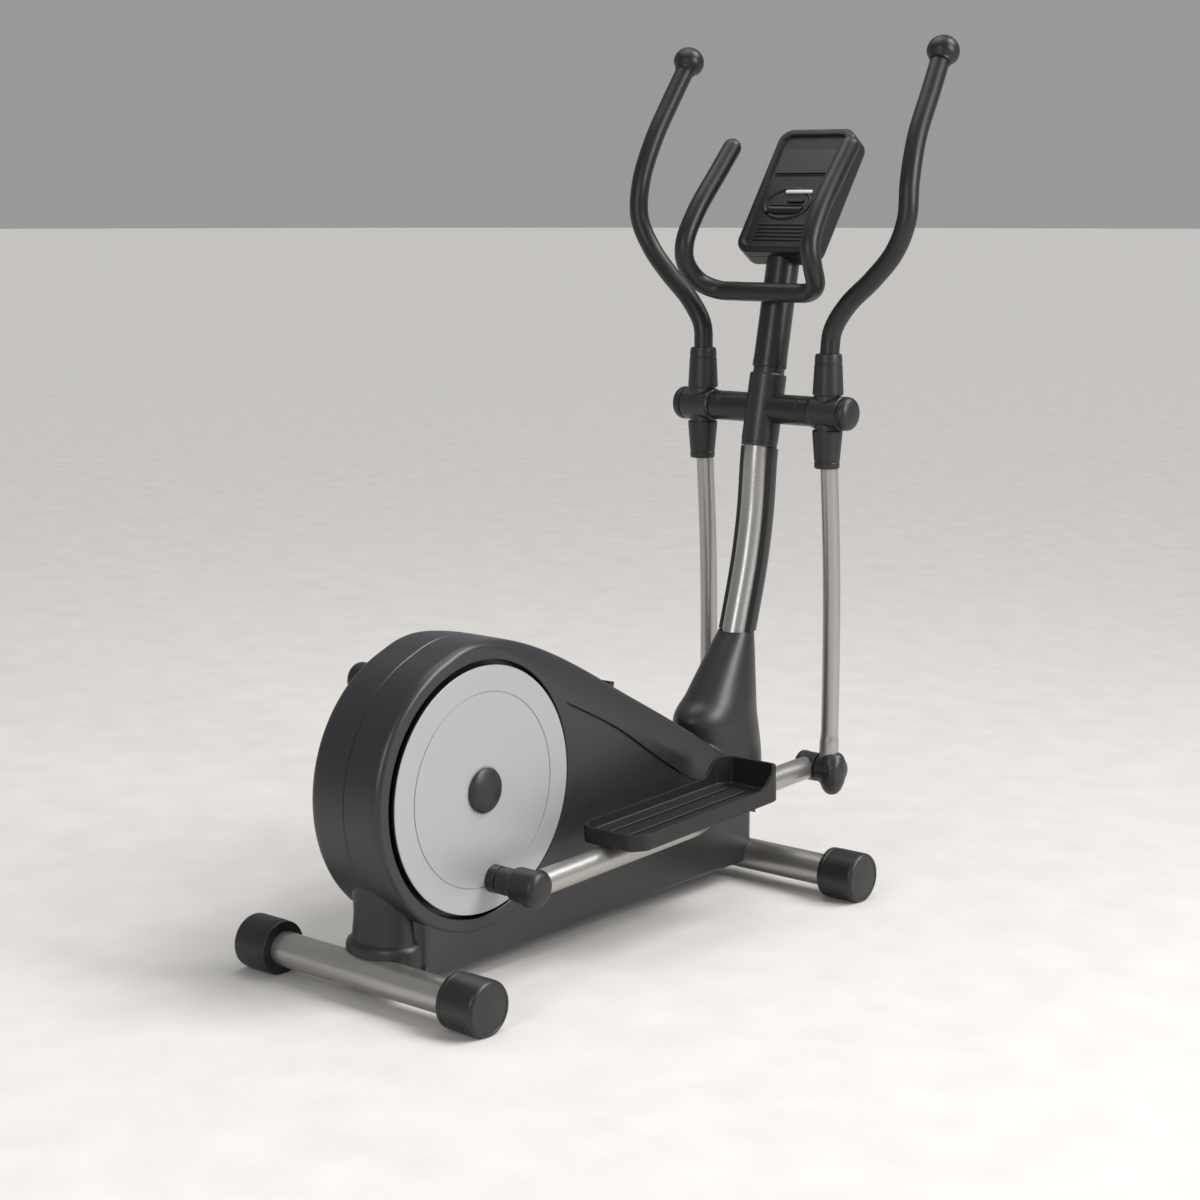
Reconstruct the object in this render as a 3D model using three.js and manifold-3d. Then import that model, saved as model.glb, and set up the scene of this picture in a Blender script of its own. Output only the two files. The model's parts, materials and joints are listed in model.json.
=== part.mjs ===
// Rear-drive elliptical cross trainer, in millimetres, as separate pieces that fit together.
// +X is the user's right, +Y is forwards, towards the console, and +Z is up from the floor.
// Every size along Y is given from the crank axle, and the finished model is moved at the end
// so that its origin is on the floor under the middle of its bounding box.
import * as THREE from "three";
import { mergeVertices } from "three/addons/utils/BufferGeometryUtils.js";
import Module from "manifold-3d";

const wasm = await Module();
wasm.setup();

// ---------- driving dimensions ----------
const GAP = 0.3; // between pieces that touch
const AXLE = { y: 0, z: 331 };
const CRANK_RADIUS = 160;
const CRANK_ANGLE = THREE.MathUtils.degToRad(8); // right pin, forwards of straight down
const BODY_HALF = 79;
const DRUM_RADIUS = 247;
const DISC_RADIUS = 212.5;
const DISC_FACE = 84.4;
const WALL = 3;

const FOOT_HEIGHT = 45; // centre line of both stabilizer tubes
const FOOT_TUBE_RADIUS = 30;
const FOOT_CAP_RADIUS = 47.5;
const REAR_FOOT = { y: -200, half: 279 };
const FRONT_FOOT = { y: 780, half: 335 };

const ARM_AXLE = { y: 903, z: 905 };
const ARM_FOOT = { y: 926, z: 200 };
const ARM_X = 150;
const KNOB_CENTRE = { x: 300, y: 1044, z: 1580 };
const KNOB_RADIUS = 31;

const MAST_TUBE_RADIUS = 26.5;
const UPPER_MAST_RADIUS = 31.5;
const UPPER_MAST_LEAN = THREE.MathUtils.degToRad(11.6);

const PIN_RADIUS = 24;
const PIN_END = 102; // the crank pin stops here, just short of the pedal's knuckle
const PEDAL_TUBE = { x: 165, radius: 22.5, wall: 2.5 };
const PEDAL_EYE = { x: 107, radius: 29 };
const PEDAL_BEND = { start: 430, end: 640 }; // along the tube, from the crank pin
const FOOTPLATE = { x0: 104.5, x1: 247, start: 190, length: 430, height: 30, toe: 64 };

const FLYWHEEL = { y: 360, z: 235, radius: 125 };
const PULLEY_RADIUS = 129.7;
const SMALL_PULLEY_RADIUS = 20;
const BELT_X = [41.5, 52.5];

const CONSOLE = { y: 994.76, z: 1328, width: 180, height: 286, depth: 62 };
const CONSOLE_LEAN = THREE.MathUtils.degToRad(34.5);

const ROUND = 12; // facets round a small circle
const TUBE = 20; // facets round a stabilizer, hub or mast tube
const FINE = 24; // facets round a wheel

// Radius of a faceted hole that a round bar of the given radius can turn in.
const runningFit = (radius, segments = ROUND) => (radius + GAP) / Math.cos(Math.PI / segments);

// ---------- materials ----------
const finish = (color, roughness, metalness) =>
  new THREE.MeshStandardMaterial({ color, roughness, metalness });
const blackPlastic = finish(0x2c2d30, 0.5, 0);
const mattePlastic = finish(0x1b1b1c, 0.75, 0);
const blackPaint = finish(0x1d1e20, 0.4, 0.3);
const silverPaint = finish(0xa9a9a6, 0.35, 0.7);
const discPaint = finish(0xb9babb, 0.3, 0.5);
const foam = finish(0x161616, 0.85, 0);
const steel = finish(0x8d8f92, 0.35, 1);
const castIron = finish(0x4a4a4c, 0.6, 0.8);
const beltRubber = finish(0x121212, 0.8, 0);
const lensPlastic = finish(0x1f221f, 0.12, 0);

// ---------- solid and geometry helpers ----------
function toSolid(geometry) {
  const bare = geometry.index ? geometry.toNonIndexed() : geometry.clone();
  for (const name of Object.keys(bare.attributes)) {
    if (name !== "position") bare.deleteAttribute(name);
  }
  const merged = mergeVertices(bare, 1e-3);
  const mesh = new wasm.Mesh({
    numProp: 3,
    vertProperties: merged.attributes.position.array,
    triVerts: new Uint32Array(merged.index.array),
  });
  return new wasm.Manifold(mesh);
}

function toGeometry(solid) {
  const mesh = solid.getMesh();
  const geometry = new THREE.BufferGeometry();
  const positions = new Float32Array(mesh.vertProperties);
  geometry.setAttribute("position", new THREE.BufferAttribute(positions, 3));
  geometry.setIndex(new THREE.BufferAttribute(new Uint32Array(mesh.triVerts), 1));
  return geometry;
}

const join = (...pieces) => toGeometry(pieces.map(toSolid).reduce((sum, piece) => sum.add(piece)));
const cut = (body, ...tools) =>
  toGeometry(tools.reduce((left, tool) => left.subtract(toSolid(tool)), toSolid(body)));

// A box given by its low and high corners.
function block(low, high) {
  const size = high.map((value, axis) => value - low[axis]);
  return new THREE.BoxGeometry(...size).translate(
    ...low.map((value, axis) => value + size[axis] / 2),
  );
}

// A turned piece about the X axis through (y, z), from [radius, x] points. A profile that
// doesn't start on the axis is closed on itself, which makes a ring.
function turned(profile, y, z, segments = ROUND) {
  const points = profile.map(([radius, x]) => new THREE.Vector2(radius, x));
  if (points[0].x > 0) points.push(points[0].clone());
  return orient(new THREE.LatheGeometry(points, segments))
    .rotateZ(-Math.PI / 2)
    .translate(0, y, z);
}

// Turns a closed geometry's faces outwards if its profile was drawn the other way round.
function orient(geometry) {
  if (toSolid(geometry).volume() > 0) return geometry;
  const index = geometry.index.array;
  for (let i = 0; i < index.length; i += 3) {
    [index[i + 1], index[i + 2]] = [index[i + 2], index[i + 1]];
  }
  return geometry;
}

// A round bar along X.
const barX = (x0, x1, radius, y, z, segments = ROUND) =>
  turned([[0, x0], [radius, x0], [radius, x1], [0, x1]], y, z, segments);

// An outline in the YZ plane, extruded along X from x0 to x1.
function slab(outline, x0, x1, bevel = 0, curveSegments = 10) {
  const geometry = new THREE.ExtrudeGeometry(outline, {
    depth: x1 - x0 - 2 * bevel,
    bevelEnabled: bevel > 0,
    bevelThickness: bevel,
    bevelSize: bevel,
    bevelOffset: -bevel,
    bevelSegments: 2,
    curveSegments,
  });
  const axes = new THREE.Matrix4().makeBasis(
    new THREE.Vector3(0, 1, 0),
    new THREE.Vector3(0, 0, 1),
    new THREE.Vector3(1, 0, 0),
  );
  return geometry.applyMatrix4(axes).translate(x0 + bevel, 0, 0);
}

// A closed skin through a stack of rings that all have the same number of points.
function loft(rings) {
  const count = rings[0].length;
  const positions = rings.flat().flat();
  const index = [];
  for (let ring = 0; ring < rings.length - 1; ring += 1) {
    for (let i = 0; i < count; i += 1) {
      const a = ring * count + i;
      const b = ring * count + ((i + 1) % count);
      index.push(a, b, b + count, a, b + count, a + count);
    }
  }
  for (const ring of [0, rings.length - 1]) {
    const flat = THREE.ShapeUtils.triangulateShape(sectionOf(rings[ring]), []);
    for (const [a, b, c] of flat) {
      index.push(ring * count + a, ring * count + c, ring * count + b);
    }
    if (ring > 0) flipLast(index, flat.length);
  }
  const geometry = new THREE.BufferGeometry();
  geometry.setAttribute("position", new THREE.Float32BufferAttribute(positions, 3));
  geometry.setIndex(index);
  return orient(geometry);
}

// The outline of a ring, seen along the ring's own normal, for filling the ends of a loft.
function sectionOf(ring) {
  const points = ring.map((point) => new THREE.Vector3(...point));
  const across = points[Math.floor(points.length / 4)].clone().sub(points[0]).normalize();
  const normal = new THREE.Vector3();
  points.forEach((point, i) => normal.add(point.clone().cross(points[(i + 1) % points.length])));
  normal.normalize();
  const up = normal.clone().cross(across);
  return points.map((point) => new THREE.Vector2(point.dot(across), point.dot(up)));
}

function flipLast(index, triangles) {
  for (let i = index.length - 3 * triangles; i < index.length; i += 3) {
    [index[i + 1], index[i + 2]] = [index[i + 2], index[i + 1]];
  }
}

// A horizontal ellipse, as one ring of a loft.
function ellipse(y, z, halfX, halfY, count = 16) {
  return Array.from({ length: count }, (_, i) => {
    const angle = (i / count) * 2 * Math.PI;
    return [halfX * Math.cos(angle), y + halfY * Math.sin(angle), z];
  });
}

// A section of [x, forwards] points swept along a smooth path of [y, z] points.
function sweepForwards(section, path, steps) {
  const curve = new THREE.SplineCurve(path.map(([y, z]) => new THREE.Vector2(y, z)));
  const rings = [];
  for (let i = 0; i <= steps; i += 1) {
    const centre = curve.getPoint(i / steps);
    const along = curve.getTangent(i / steps);
    rings.push(section.map(([x, out]) => [x, centre.x + out * along.y, centre.y - out * along.x]));
  }
  return loft(rings);
}

const circleSection = (radius, count) =>
  Array.from({ length: count }, (_, i) => {
    const angle = (i / count) * 2 * Math.PI;
    return [radius * Math.cos(angle), radius * Math.sin(angle)];
  });

// A round tube or bar along a smooth path of [x, y, z] points.
function tubeAlong(path, radius, bore, steps, sides) {
  const shape = new THREE.Shape(circleSection(radius, sides).map((p) => new THREE.Vector2(...p)));
  if (bore > 0) {
    const hole = circleSection(bore, sides).reverse();
    shape.holes.push(new THREE.Path(hole.map((p) => new THREE.Vector2(...p))));
  }
  const curve = new THREE.CatmullRomCurve3(path.map((p) => new THREE.Vector3(...p)), false, "centripetal");
  return new THREE.ExtrudeGeometry(shape, { steps, bevelEnabled: false, extrudePath: curve });
}

// A rounded rectangle about the origin.
function roundedRectangle(width, height, radius) {
  const x = width / 2 - radius;
  const y = height / 2 - radius;
  const shape = new THREE.Shape();
  shape.absarc(x, y, radius, 0, Math.PI / 2);
  shape.absarc(-x, y, radius, Math.PI / 2, Math.PI);
  shape.absarc(-x, -y, radius, Math.PI, 1.5 * Math.PI);
  shape.absarc(x, -y, radius, 1.5 * Math.PI, 2 * Math.PI);
  shape.closePath();
  return shape;
}

function addPart(group, name, geometry, material) {
  const mesh = new THREE.Mesh(geometry, material);
  mesh.name = name;
  group.add(mesh);
}

const SIDES = [["right", 1], ["left", -1]];

// A group for one side of the machine: the left one is the right one mirrored across x = 0.
function sideGroup(parent, sign) {
  const group = new THREE.Group();
  group.scale.x = sign;
  parent.add(group);
  return group;
}

// ---------- welded steel frame ----------
const RAIL = { half: 25, low: 40, high: 70 };
const AXLE_RADIUS = 12;
const FLYWHEEL_AXLE_RADIUS = 8;
const IDLER = { y: 200, z: 188, radius: 16, pin: 5 };
const BRAKE_PIVOT = { y: 408, z: 98, pin: 5 };
const MAST_PATH = [[692, 81], [757, 280], [818, 477], [856, 611], [874, 710], [882, 800], [889, 858]];

function mainFrame(group) {
  const railEnd = FOOT_TUBE_RADIUS + GAP;
  const railRear = REAR_FOOT.y + railEnd;
  const railFront = FRONT_FOOT.y - railEnd;
  const rail = cut(
    block([-RAIL.half, railRear, RAIL.low], [RAIL.half, railFront, RAIL.high]),
    block(
      [WALL - RAIL.half, railRear - 1, RAIL.low + WALL],
      [RAIL.half - WALL, railFront + 1, RAIL.high - WALL],
    ),
  );
  const rootZ = RAIL.high - 5;
  const crankPost = block([-22, -24, rootZ], [22, 24, AXLE.z]);
  const bearingShell = barX(-34, 34, 27, AXLE.y, AXLE.z);
  const forkPlates = [[-40, -34], [26, 32]].map(([x0, x1]) =>
    block([x0, FLYWHEEL.y - 25, RAIL.high - 12], [x1, FLYWHEEL.y + 25, FLYWHEEL.z + 22]));
  const forkFoot = block([-40, FLYWHEEL.y - 25, RAIL.high - 12], [32, FLYWHEEL.y + 25, RAIL.high + 4]);
  const idlerPost = block([15, IDLER.y - 10, rootZ], [35, IDLER.y + 10, IDLER.z + 10]);
  const idlerPin = barX(30, 56, IDLER.pin, IDLER.y, IDLER.z);
  const brakePost = block([-42, BRAKE_PIVOT.y - 8, rootZ - 10], [-32, BRAKE_PIVOT.y + 8, BRAKE_PIVOT.z + 8]);
  const brakeFoot = block([-42, BRAKE_PIVOT.y - 8, rootZ - 10], [0, BRAKE_PIVOT.y + 8, rootZ + 8]);
  const brakePin = barX(-36, -3, BRAKE_PIVOT.pin, BRAKE_PIVOT.y, BRAKE_PIVOT.z);
  const socket = sweepForwards(circleSection(21.5, 14), [[687, 66], [699, 103.5], [711, 141]], 2);
  const body = join(rail, crankPost, bearingShell, ...forkPlates, forkFoot, idlerPost, idlerPin,
    brakePost, brakeFoot, brakePin, socket);
  const bores = [
    barX(-36, 36, runningFit(AXLE_RADIUS), AXLE.y, AXLE.z),
    barX(-42, 34, runningFit(FLYWHEEL_AXLE_RADIUS), FLYWHEEL.y, FLYWHEEL.z),
  ];
  addPart(group, "main_frame", cut(body, ...bores), blackPaint);
}

// ---------- feet ----------
function feet(group) {
  for (const [place, foot] of [["rear", REAR_FOOT], ["front", FRONT_FOOT]]) {
    const end = foot.half - 12;
    const bore = FOOT_TUBE_RADIUS - 2.5;
    const outer = FOOT_TUBE_RADIUS;
    const profile = [[bore, -end], [outer, -end], [outer, end], [bore, end]];
    const tube = turned(profile, foot.y, FOOT_HEIGHT, TUBE);
    addPart(group, `${place}_stabilizer_tube`, tube, silverPaint);
    for (const [side, sign] of SIDES) {
      const cap = footCap(foot);
      addPart(sideGroup(group, sign), `${place}_${side}_foot_cap`, cap, mattePlastic);
    }
  }
}

function footCap({ y, half }) {
  const r = FOOT_CAP_RADIUS;
  const inner = half - 90;
  const socket = FOOT_TUBE_RADIUS + GAP;
  const outside = turned(
    [[0, inner], [r, inner], [r, half - 7], [r - 7, half], [0, half]],
    y, FOOT_HEIGHT, TUBE);
  const bore = barX(inner - 1, half - 11.5, socket, y, FOOT_HEIGHT, TUBE);
  const floor = block([inner - 5, y - 60, -20], [half + 5, y + 60, 0]);
  return cut(outside, bore, floor);
}

// ---------- body shroud ----------
const SKIRT_LOW = 34;
const SKIRT_REAR = -100;
const NOSE = 785;
const TOP_LINE = [[785, 212], [700, 262], [600, 322], [521, 366], [391, 434], [222, 519]];

// Side view of the body, drawn in by the given distance.
function bodyOutline(inset) {
  const radius = DRUM_RADIUS - inset;
  const shape = new THREE.Shape();
  shape.moveTo(SKIRT_REAR + inset, SKIRT_LOW + inset);
  shape.lineTo(NOSE - 12 - inset, SKIRT_LOW + inset);
  shape.lineTo(NOSE - inset, SKIRT_LOW + 12 + inset);
  for (const [y, z] of TOP_LINE) shape.lineTo(y - inset * 0.48, z - inset * 0.88);
  const start = THREE.MathUtils.degToRad(74);
  const end = 2 * Math.PI - Math.acos((SKIRT_REAR + inset) / radius);
  shape.absarc(AXLE.y, AXLE.z, radius, start, end);
  shape.closePath();
  return shape;
}

const EDGE = 16; // rounding of the body's edges
const DRUM_STEPS = 15; // half the facets round the body's drum
const bodyBlock = (grow) =>
  slab(bodyOutline(-grow), -BODY_HALF - grow, BODY_HALF + grow, EDGE, DRUM_STEPS);

// The side panel that is set back below the moulded line, outside the drum's raised ring.
function panelRecess() {
  const shape = new THREE.Shape();
  const outline = [[SKIRT_REAR - 5, SKIRT_LOW - 5], [NOSE + 5, SKIRT_LOW - 5], [NOSE + 5, 128],
    [544, 255], [457, 309], [359, 372], [223, 441], [0, 331], [SKIRT_REAR - 5, 150]];
  outline.forEach(([y, z], i) => (i ? shape.lineTo(y, z) : shape.moveTo(y, z)));
  shape.closePath();
  const ring = barX(BODY_HALF - 20, BODY_HALF + 20, DRUM_RADIUS + 1, AXLE.y, AXLE.z, 40);
  return cut(slab(shape, BODY_HALF - 4, BODY_HALF + 5), ring);
}

function bodyShells(group) {
  const cavity = slab(bodyOutline(WALL), -40, BODY_HALF - 4 - WALL, EDGE - WALL, DRUM_STEPS);
  const otherHalf = block([-BODY_HALF - 5, -400, -20], [GAP / 2, 1000, 700]);
  const discOpening = barX(BODY_HALF - 20, BODY_HALF + 5, DISC_RADIUS + 8, AXLE.y, AXLE.z, FINE);
  const railOpening = block(
    [-1, SKIRT_REAR - 5, RAIL.low - 2],
    [RAIL.half + 1.5, SKIRT_REAR + 8, RAIL.high + 2],
  );
  const tubeOpening = barX(-1, BODY_HALF + 5, FOOT_TUBE_RADIUS + 1, FRONT_FOOT.y, FOOT_HEIGHT, TUBE);
  const mastOpening = sweepForwards(circleSection(38, 14), [[740, 200], [757, 280], [790, 380]], 3);
  const half = cut(bodyBlock(0), otherHalf, cavity, discOpening, railOpening, tubeOpening,
    mastOpening, panelRecess());
  for (const [side, sign] of SIDES) {
    addPart(sideGroup(group, sign), `${side}_shroud_shell`, half, blackPlastic);
  }
}

// Rings of the horn around the foot of the mast: height, centre, half width, half length.
const HORN = [[150, 735, 70, 62], [185, 752, 77, 88], [235, 757, 78, 108], [300, 757, 77, 109],
  [345, 758, 72, 103], [385, 776, 57, 76], [430, 799, 42, 50], [477, 818, 34, 35]];

function mastShroud(group) {
  const horn = loft(HORN.map(([z, y, halfX, halfY]) => ellipse(y, z, halfX, halfY)));
  const inside = loft(HORN.map(([z, y, halfX, halfY], i) => {
    const wall = i === HORN.length - 1 ? 4 : WALL;
    const end = i === 0 ? -5 : 0;
    return ellipse(y, z + end, halfX - wall, halfY - wall);
  }));
  const mastHole = sweepForwards(circleSection(MAST_TUBE_RADIUS + 1.5, ROUND), MAST_PATH, 7);
  addPart(group, "mast_shroud", cut(horn, inside, bodyBlock(0.5), mastHole), blackPlastic);
}

// Two-tier moulded cover where the rail meets the rear stabilizer.
function rearBracket(group) {
  const bell = (inset) => loft([
    ellipse(-158, 38 - inset, 74 - inset, 56 - inset),
    ellipse(-158, 86 - inset, 74 - inset, 56 - inset),
    ellipse(-157, 97 - inset, 62 - inset, 48 - inset),
    ellipse(-155, 140 - inset, 55 - inset, 46 - inset),
    ellipse(-152, 165 - inset, 55 - inset, 46 - inset),
  ]);
  const tools = [
    bell(4),
    bodyBlock(0.5),
    barX(-90, 90, FOOT_TUBE_RADIUS + 0.5, REAR_FOOT.y, FOOT_HEIGHT, TUBE),
    block([-RAIL.half - 0.5, -230, RAIL.low - 3], [RAIL.half + 0.5, -90, RAIL.high + 0.5]),
    block([-100, -300, 0], [100, 0, 42]),
  ];
  addPart(group, "rear_foot_bracket", cut(bell(0), ...tools), mattePlastic);
}

// ---------- mast ----------
function mast(group) {
  const outer = sweepForwards(circleSection(MAST_TUBE_RADIUS, ROUND), MAST_PATH, 7);
  const longer = [[686, 63], ...MAST_PATH.slice(1, -1), [892, 884]];
  const bore = sweepForwards(circleSection(MAST_TUBE_RADIUS - 2.5, ROUND), longer, 7);
  addPart(group, "lower_mast_tube", cut(outer, bore), silverPaint);
  addPart(group, "mast_trim", mastTrim(), blackPlastic);

  const head = new THREE.Group();
  head.position.set(0, ARM_AXLE.y, ARM_AXLE.z);
  head.rotation.x = -UPPER_MAST_LEAN;
  group.add(head);
  head.updateMatrixWorld(true);
  const toHead = head.matrixWorld.clone().invert();
  const collar = turned([[0, -76], [34.5, -76], [36, -73], [36, 66], [34, 69], [28, 69], [28, 118], [0, 118]],
    0, 0, TUBE).rotateY(-Math.PI / 2);
  const lowerTube = sweepForwards(circleSection(MAST_TUBE_RADIUS + 1, ROUND), MAST_PATH, 7);
  const axleHole = barX(-60, 60, runningFit(CROSS_RADIUS, TUBE), 0, 0, TUBE);
  const collarGeometry = cut(collar, axleHole, lowerTube.applyMatrix4(toHead));
  addPart(head, "mast_collar", collarGeometry, blackPlastic);

  const tubeProfile = [[UPPER_MAST_RADIUS - 3, 69 + GAP], [UPPER_MAST_RADIUS, 69 + GAP],
    [UPPER_MAST_RADIUS, 330], [UPPER_MAST_RADIUS - 3, 330]];
  const tube = turned(tubeProfile, 0, 0, TUBE).rotateY(-Math.PI / 2);
  const console = consoleBlock(0.5).applyMatrix4(toHead);
  const above = block([-60, -120, 292], [60, 120, 400]);
  addPart(head, "upper_mast_tube", cut(tube, console, above), blackPaint);
}

// Dark channel that wraps the front of the silver mast tube between the shroud and the collar.
function mastTrim() {
  const lip = MAST_TUBE_RADIUS + 1.2;
  const outer = 39;
  const wall = 3;
  const arc = (radius, first, last) => Array.from({ length: 8 }, (_, i) => {
    const angle = first + (i / 7) * (last - first);
    return [radius * Math.cos(angle), 3 + radius * Math.sin(angle)];
  });
  const section = [
    [outer, 0], ...arc(outer, 0.1, Math.PI - 0.1), [-outer, 0],
    [-lip, 0], [-lip, wall], ...arc(outer - wall, Math.PI - 0.1, 0.1), [lip, wall], [lip, 0],
  ];
  const path = [[816, 470], [856, 611], [874, 710], [881, 790], [886, 822]];
  const collar = new THREE.CylinderGeometry(36.5, 36.5, 152.6, TUBE).rotateX(Math.PI / 2)
    .rotateX(-UPPER_MAST_LEAN).translate(0, ARM_AXLE.y, ARM_AXLE.z);
  const horn = block([-60, 700, 400], [60, 900, HORN.at(-1)[0] + GAP]);
  return cut(sweepForwards(section, path, 7), collar, horn);
}

// ---------- cross axle for the swing arms ----------
const CROSS_RADIUS = 29;
const ARM_PIN_RADIUS = 15;
const HUB = { x0: 118, x1: 186, radius: 32.5 };

function crossAxle(group) {
  const shoulder = HUB.x0 - 1;
  const end = HUB.x1 + 3;
  const profile = [[0, -end], [ARM_PIN_RADIUS, -end], [ARM_PIN_RADIUS, -shoulder], [CROSS_RADIUS, -shoulder],
    [CROSS_RADIUS, shoulder], [ARM_PIN_RADIUS, shoulder], [ARM_PIN_RADIUS, end], [0, end]];
  addPart(group, "cross_axle", turned(profile, ARM_AXLE.y, ARM_AXLE.z, TUBE), blackPaint);
  for (const [side, sign] of SIDES) {
    const x0 = HUB.x1 + 1;
    const dome = turned(
      [[0, x0], [31, x0], [32.5, x0 + 3], [32, x0 + 10], [27, x0 + 17], [16, x0 + 21.5], [0, x0 + 23]],
      ARM_AXLE.y, ARM_AXLE.z, TUBE);
    const bore = barX(x0 - 1, end + GAP, ARM_PIN_RADIUS + GAP, ARM_AXLE.y, ARM_AXLE.z, TUBE);
    addPart(sideGroup(group, sign), `${side}_axle_cap`, cut(dome, bore), mattePlastic);
  }
}

// ---------- swing arms ----------
const HANDLE_PATH = [[150, 904, 985], [151, 905, 1020], [156, 907, 1062], [188, 908, 1110], [243, 910, 1160],
  [288, 910, 1210], [316, 906, 1270], [317, 912, 1340], [311, 942, 1420], [306, 992, 1500],
  [300, 1038, 1570]];
const LOWER_ARM_PATH = [[903, 890], [912, 790], [925, 600], [929, 430], [928, 260], [926, 222]];

function swingArm(group, side) {
  const at = (geometry) => geometry.translate(ARM_X, 0, 0);
  const { y, z } = ARM_AXLE;
  const boss = turned([[0, HUB.x0], [31.5, HUB.x0], [HUB.radius, HUB.x0 + 2],
    [HUB.radius, HUB.x1 - 2], [31.5, HUB.x1], [0, HUB.x1]], y, z, TUBE);
  const spigot = (z0, z1) => at(new THREE.CylinderGeometry(13, 13, z1 - z0, 12)
    .rotateX(Math.PI / 2).translate(0, y, (z0 + z1) / 2));
  const pinHole = barX(HUB.x0 - 1, HUB.x1 + 1, runningFit(ARM_PIN_RADIUS, TUBE), y, z, TUBE);
  const hub = cut(join(boss, spigot(z, z + 70), spigot(z - 70, z)), pinHole);
  addPart(group, `${side}_arm_hub`, hub, blackPlastic);

  // Tapered covers above and below the hub, each resting on it.
  const hubSkin = barX(HUB.x0 - 5, HUB.x1 + 5, HUB.radius + GAP, y, z, TUBE);
  const sleeve = (low, high, lowRadius, highRadius) => at(new THREE.CylinderGeometry(
    highRadius, lowRadius, high - low, ROUND).rotateX(Math.PI / 2).translate(0, y, (low + high) / 2));
  const handle = tubeAlong(HANDLE_PATH, 18.5, 0, 18, 8);
  const handleRoom = tubeAlong(HANDLE_PATH, 18.5 + GAP, 0, 18, 8);
  const lowerSolid = sweepForwards(circleSection(17, 10), LOWER_ARM_PATH, 6);
  const spigotRoom = at(new THREE.CylinderGeometry(13 + GAP, 13 + GAP, 160, 12)
    .rotateX(Math.PI / 2).translate(0, y, z));
  const upperSleeve = cut(sleeve(z + 22, z + 104, 29.5, 25.5), hubSkin, spigotRoom, handleRoom);
  addPart(group, `${side}_upper_sleeve`, upperSleeve, mattePlastic);
  const tubeRoom = at(sweepForwards(circleSection(17.3, 10), LOWER_ARM_PATH, 6));
  const lowerSleeve = cut(sleeve(z - 120, z - 22, 24, 29), hubSkin, spigotRoom, tubeRoom);
  addPart(group, `${side}_lower_sleeve`, lowerSleeve, mattePlastic);

  const borePath = [[903, 900], ...LOWER_ARM_PATH.slice(1, -1), [925, 200]];
  const lowerBore = sweepForwards(circleSection(14.6, 10), borePath, 6);
  const lowerTube = cut(at(cut(lowerSolid, lowerBore)), hubSkin, spigotRoom);
  addPart(group, `${side}_arm_tube`, lowerTube, silverPaint);
  const gripEnd = block([0, 700, 0], [500, 1200, z + 80 + GAP]);
  const knob = knobGeometry();
  addPart(group, `${side}_arm_grip`, cut(handle, gripEnd, knob.room), foam);
  addPart(group, `${side}_grip_knob`, knob.geometry, foam);
  addPart(group, `${side}_arm_joint`, armJoint(), blackPlastic);
}

// Rounded end knob, threaded over the top of the grip.
function knobGeometry() {
  const profile = [[0, -24], [21, -24], [28, -14], [KNOB_RADIUS, 0], [28, 14], [18, 25], [0, 30]];
  const last = new THREE.Vector3(...HANDLE_PATH.at(-1));
  const before = new THREE.Vector3(...HANDLE_PATH.at(-2));
  const direction = last.clone().sub(before).normalize();
  const turn = new THREE.Quaternion().setFromUnitVectors(new THREE.Vector3(1, 0, 0), direction);
  const place = (geometry) => geometry.applyQuaternion(turn)
    .translate(KNOB_CENTRE.x, KNOB_CENTRE.y, KNOB_CENTRE.z);
  return {
    geometry: place(turned(profile, 0, 0)),
    room: place(turned([[0, -24 - GAP], [60, -24 - GAP], [60, 60], [0, 60]], 0, 0)),
  };
}

// Joint at the bottom of the arm: the pivot pin for the pedal's eye stands out of its inner side.
function armJoint() {
  const { y, z } = ARM_FOOT;
  const barrel = turned([[0, 132.5], [30, 132.5], [30, 172], [25, 182], [0, 186]], y, z);
  const upright = (topRadius, lowRadius, x, low, high) =>
    new THREE.CylinderGeometry(topRadius, lowRadius, high - low, ROUND).rotateX(Math.PI / 2)
      .translate(x, y, (low + high) / 2);
  const collar = upright(21, 24, ARM_X + 7, z, z + 62);
  const heel = upright(24, 18, ARM_X + 7, z - 50, z);
  const pin = barX(92, 134, 10, y, z);
  const tubeRoom = sweepForwards(circleSection(17 + GAP, 10), LOWER_ARM_PATH, 6).translate(ARM_X, 0, 0);
  return cut(join(barrel, collar, heel, pin), tubeRoom);
}

// ---------- crank ----------
function crank(group) {
  const axle = barX(-73, 73, AXLE_RADIUS, AXLE.y, AXLE.z);
  addPart(group, "crank_axle", axle, steel);
  const hub = AXLE_RADIUS + 2 * GAP;
  const pulley = turned([[hub, 36], [28, 36], [28, 44], [112, 44], [PULLEY_RADIUS, 41], [PULLEY_RADIUS, 53],
    [112, 50], [28, 50], [28, 56], [hub, 56]], AXLE.y, AXLE.z, FINE);
  addPart(group, "drive_pulley", pulley, mattePlastic);
  for (const [side, sign] of SIDES) crankSide(group, side, sign);
}

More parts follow.
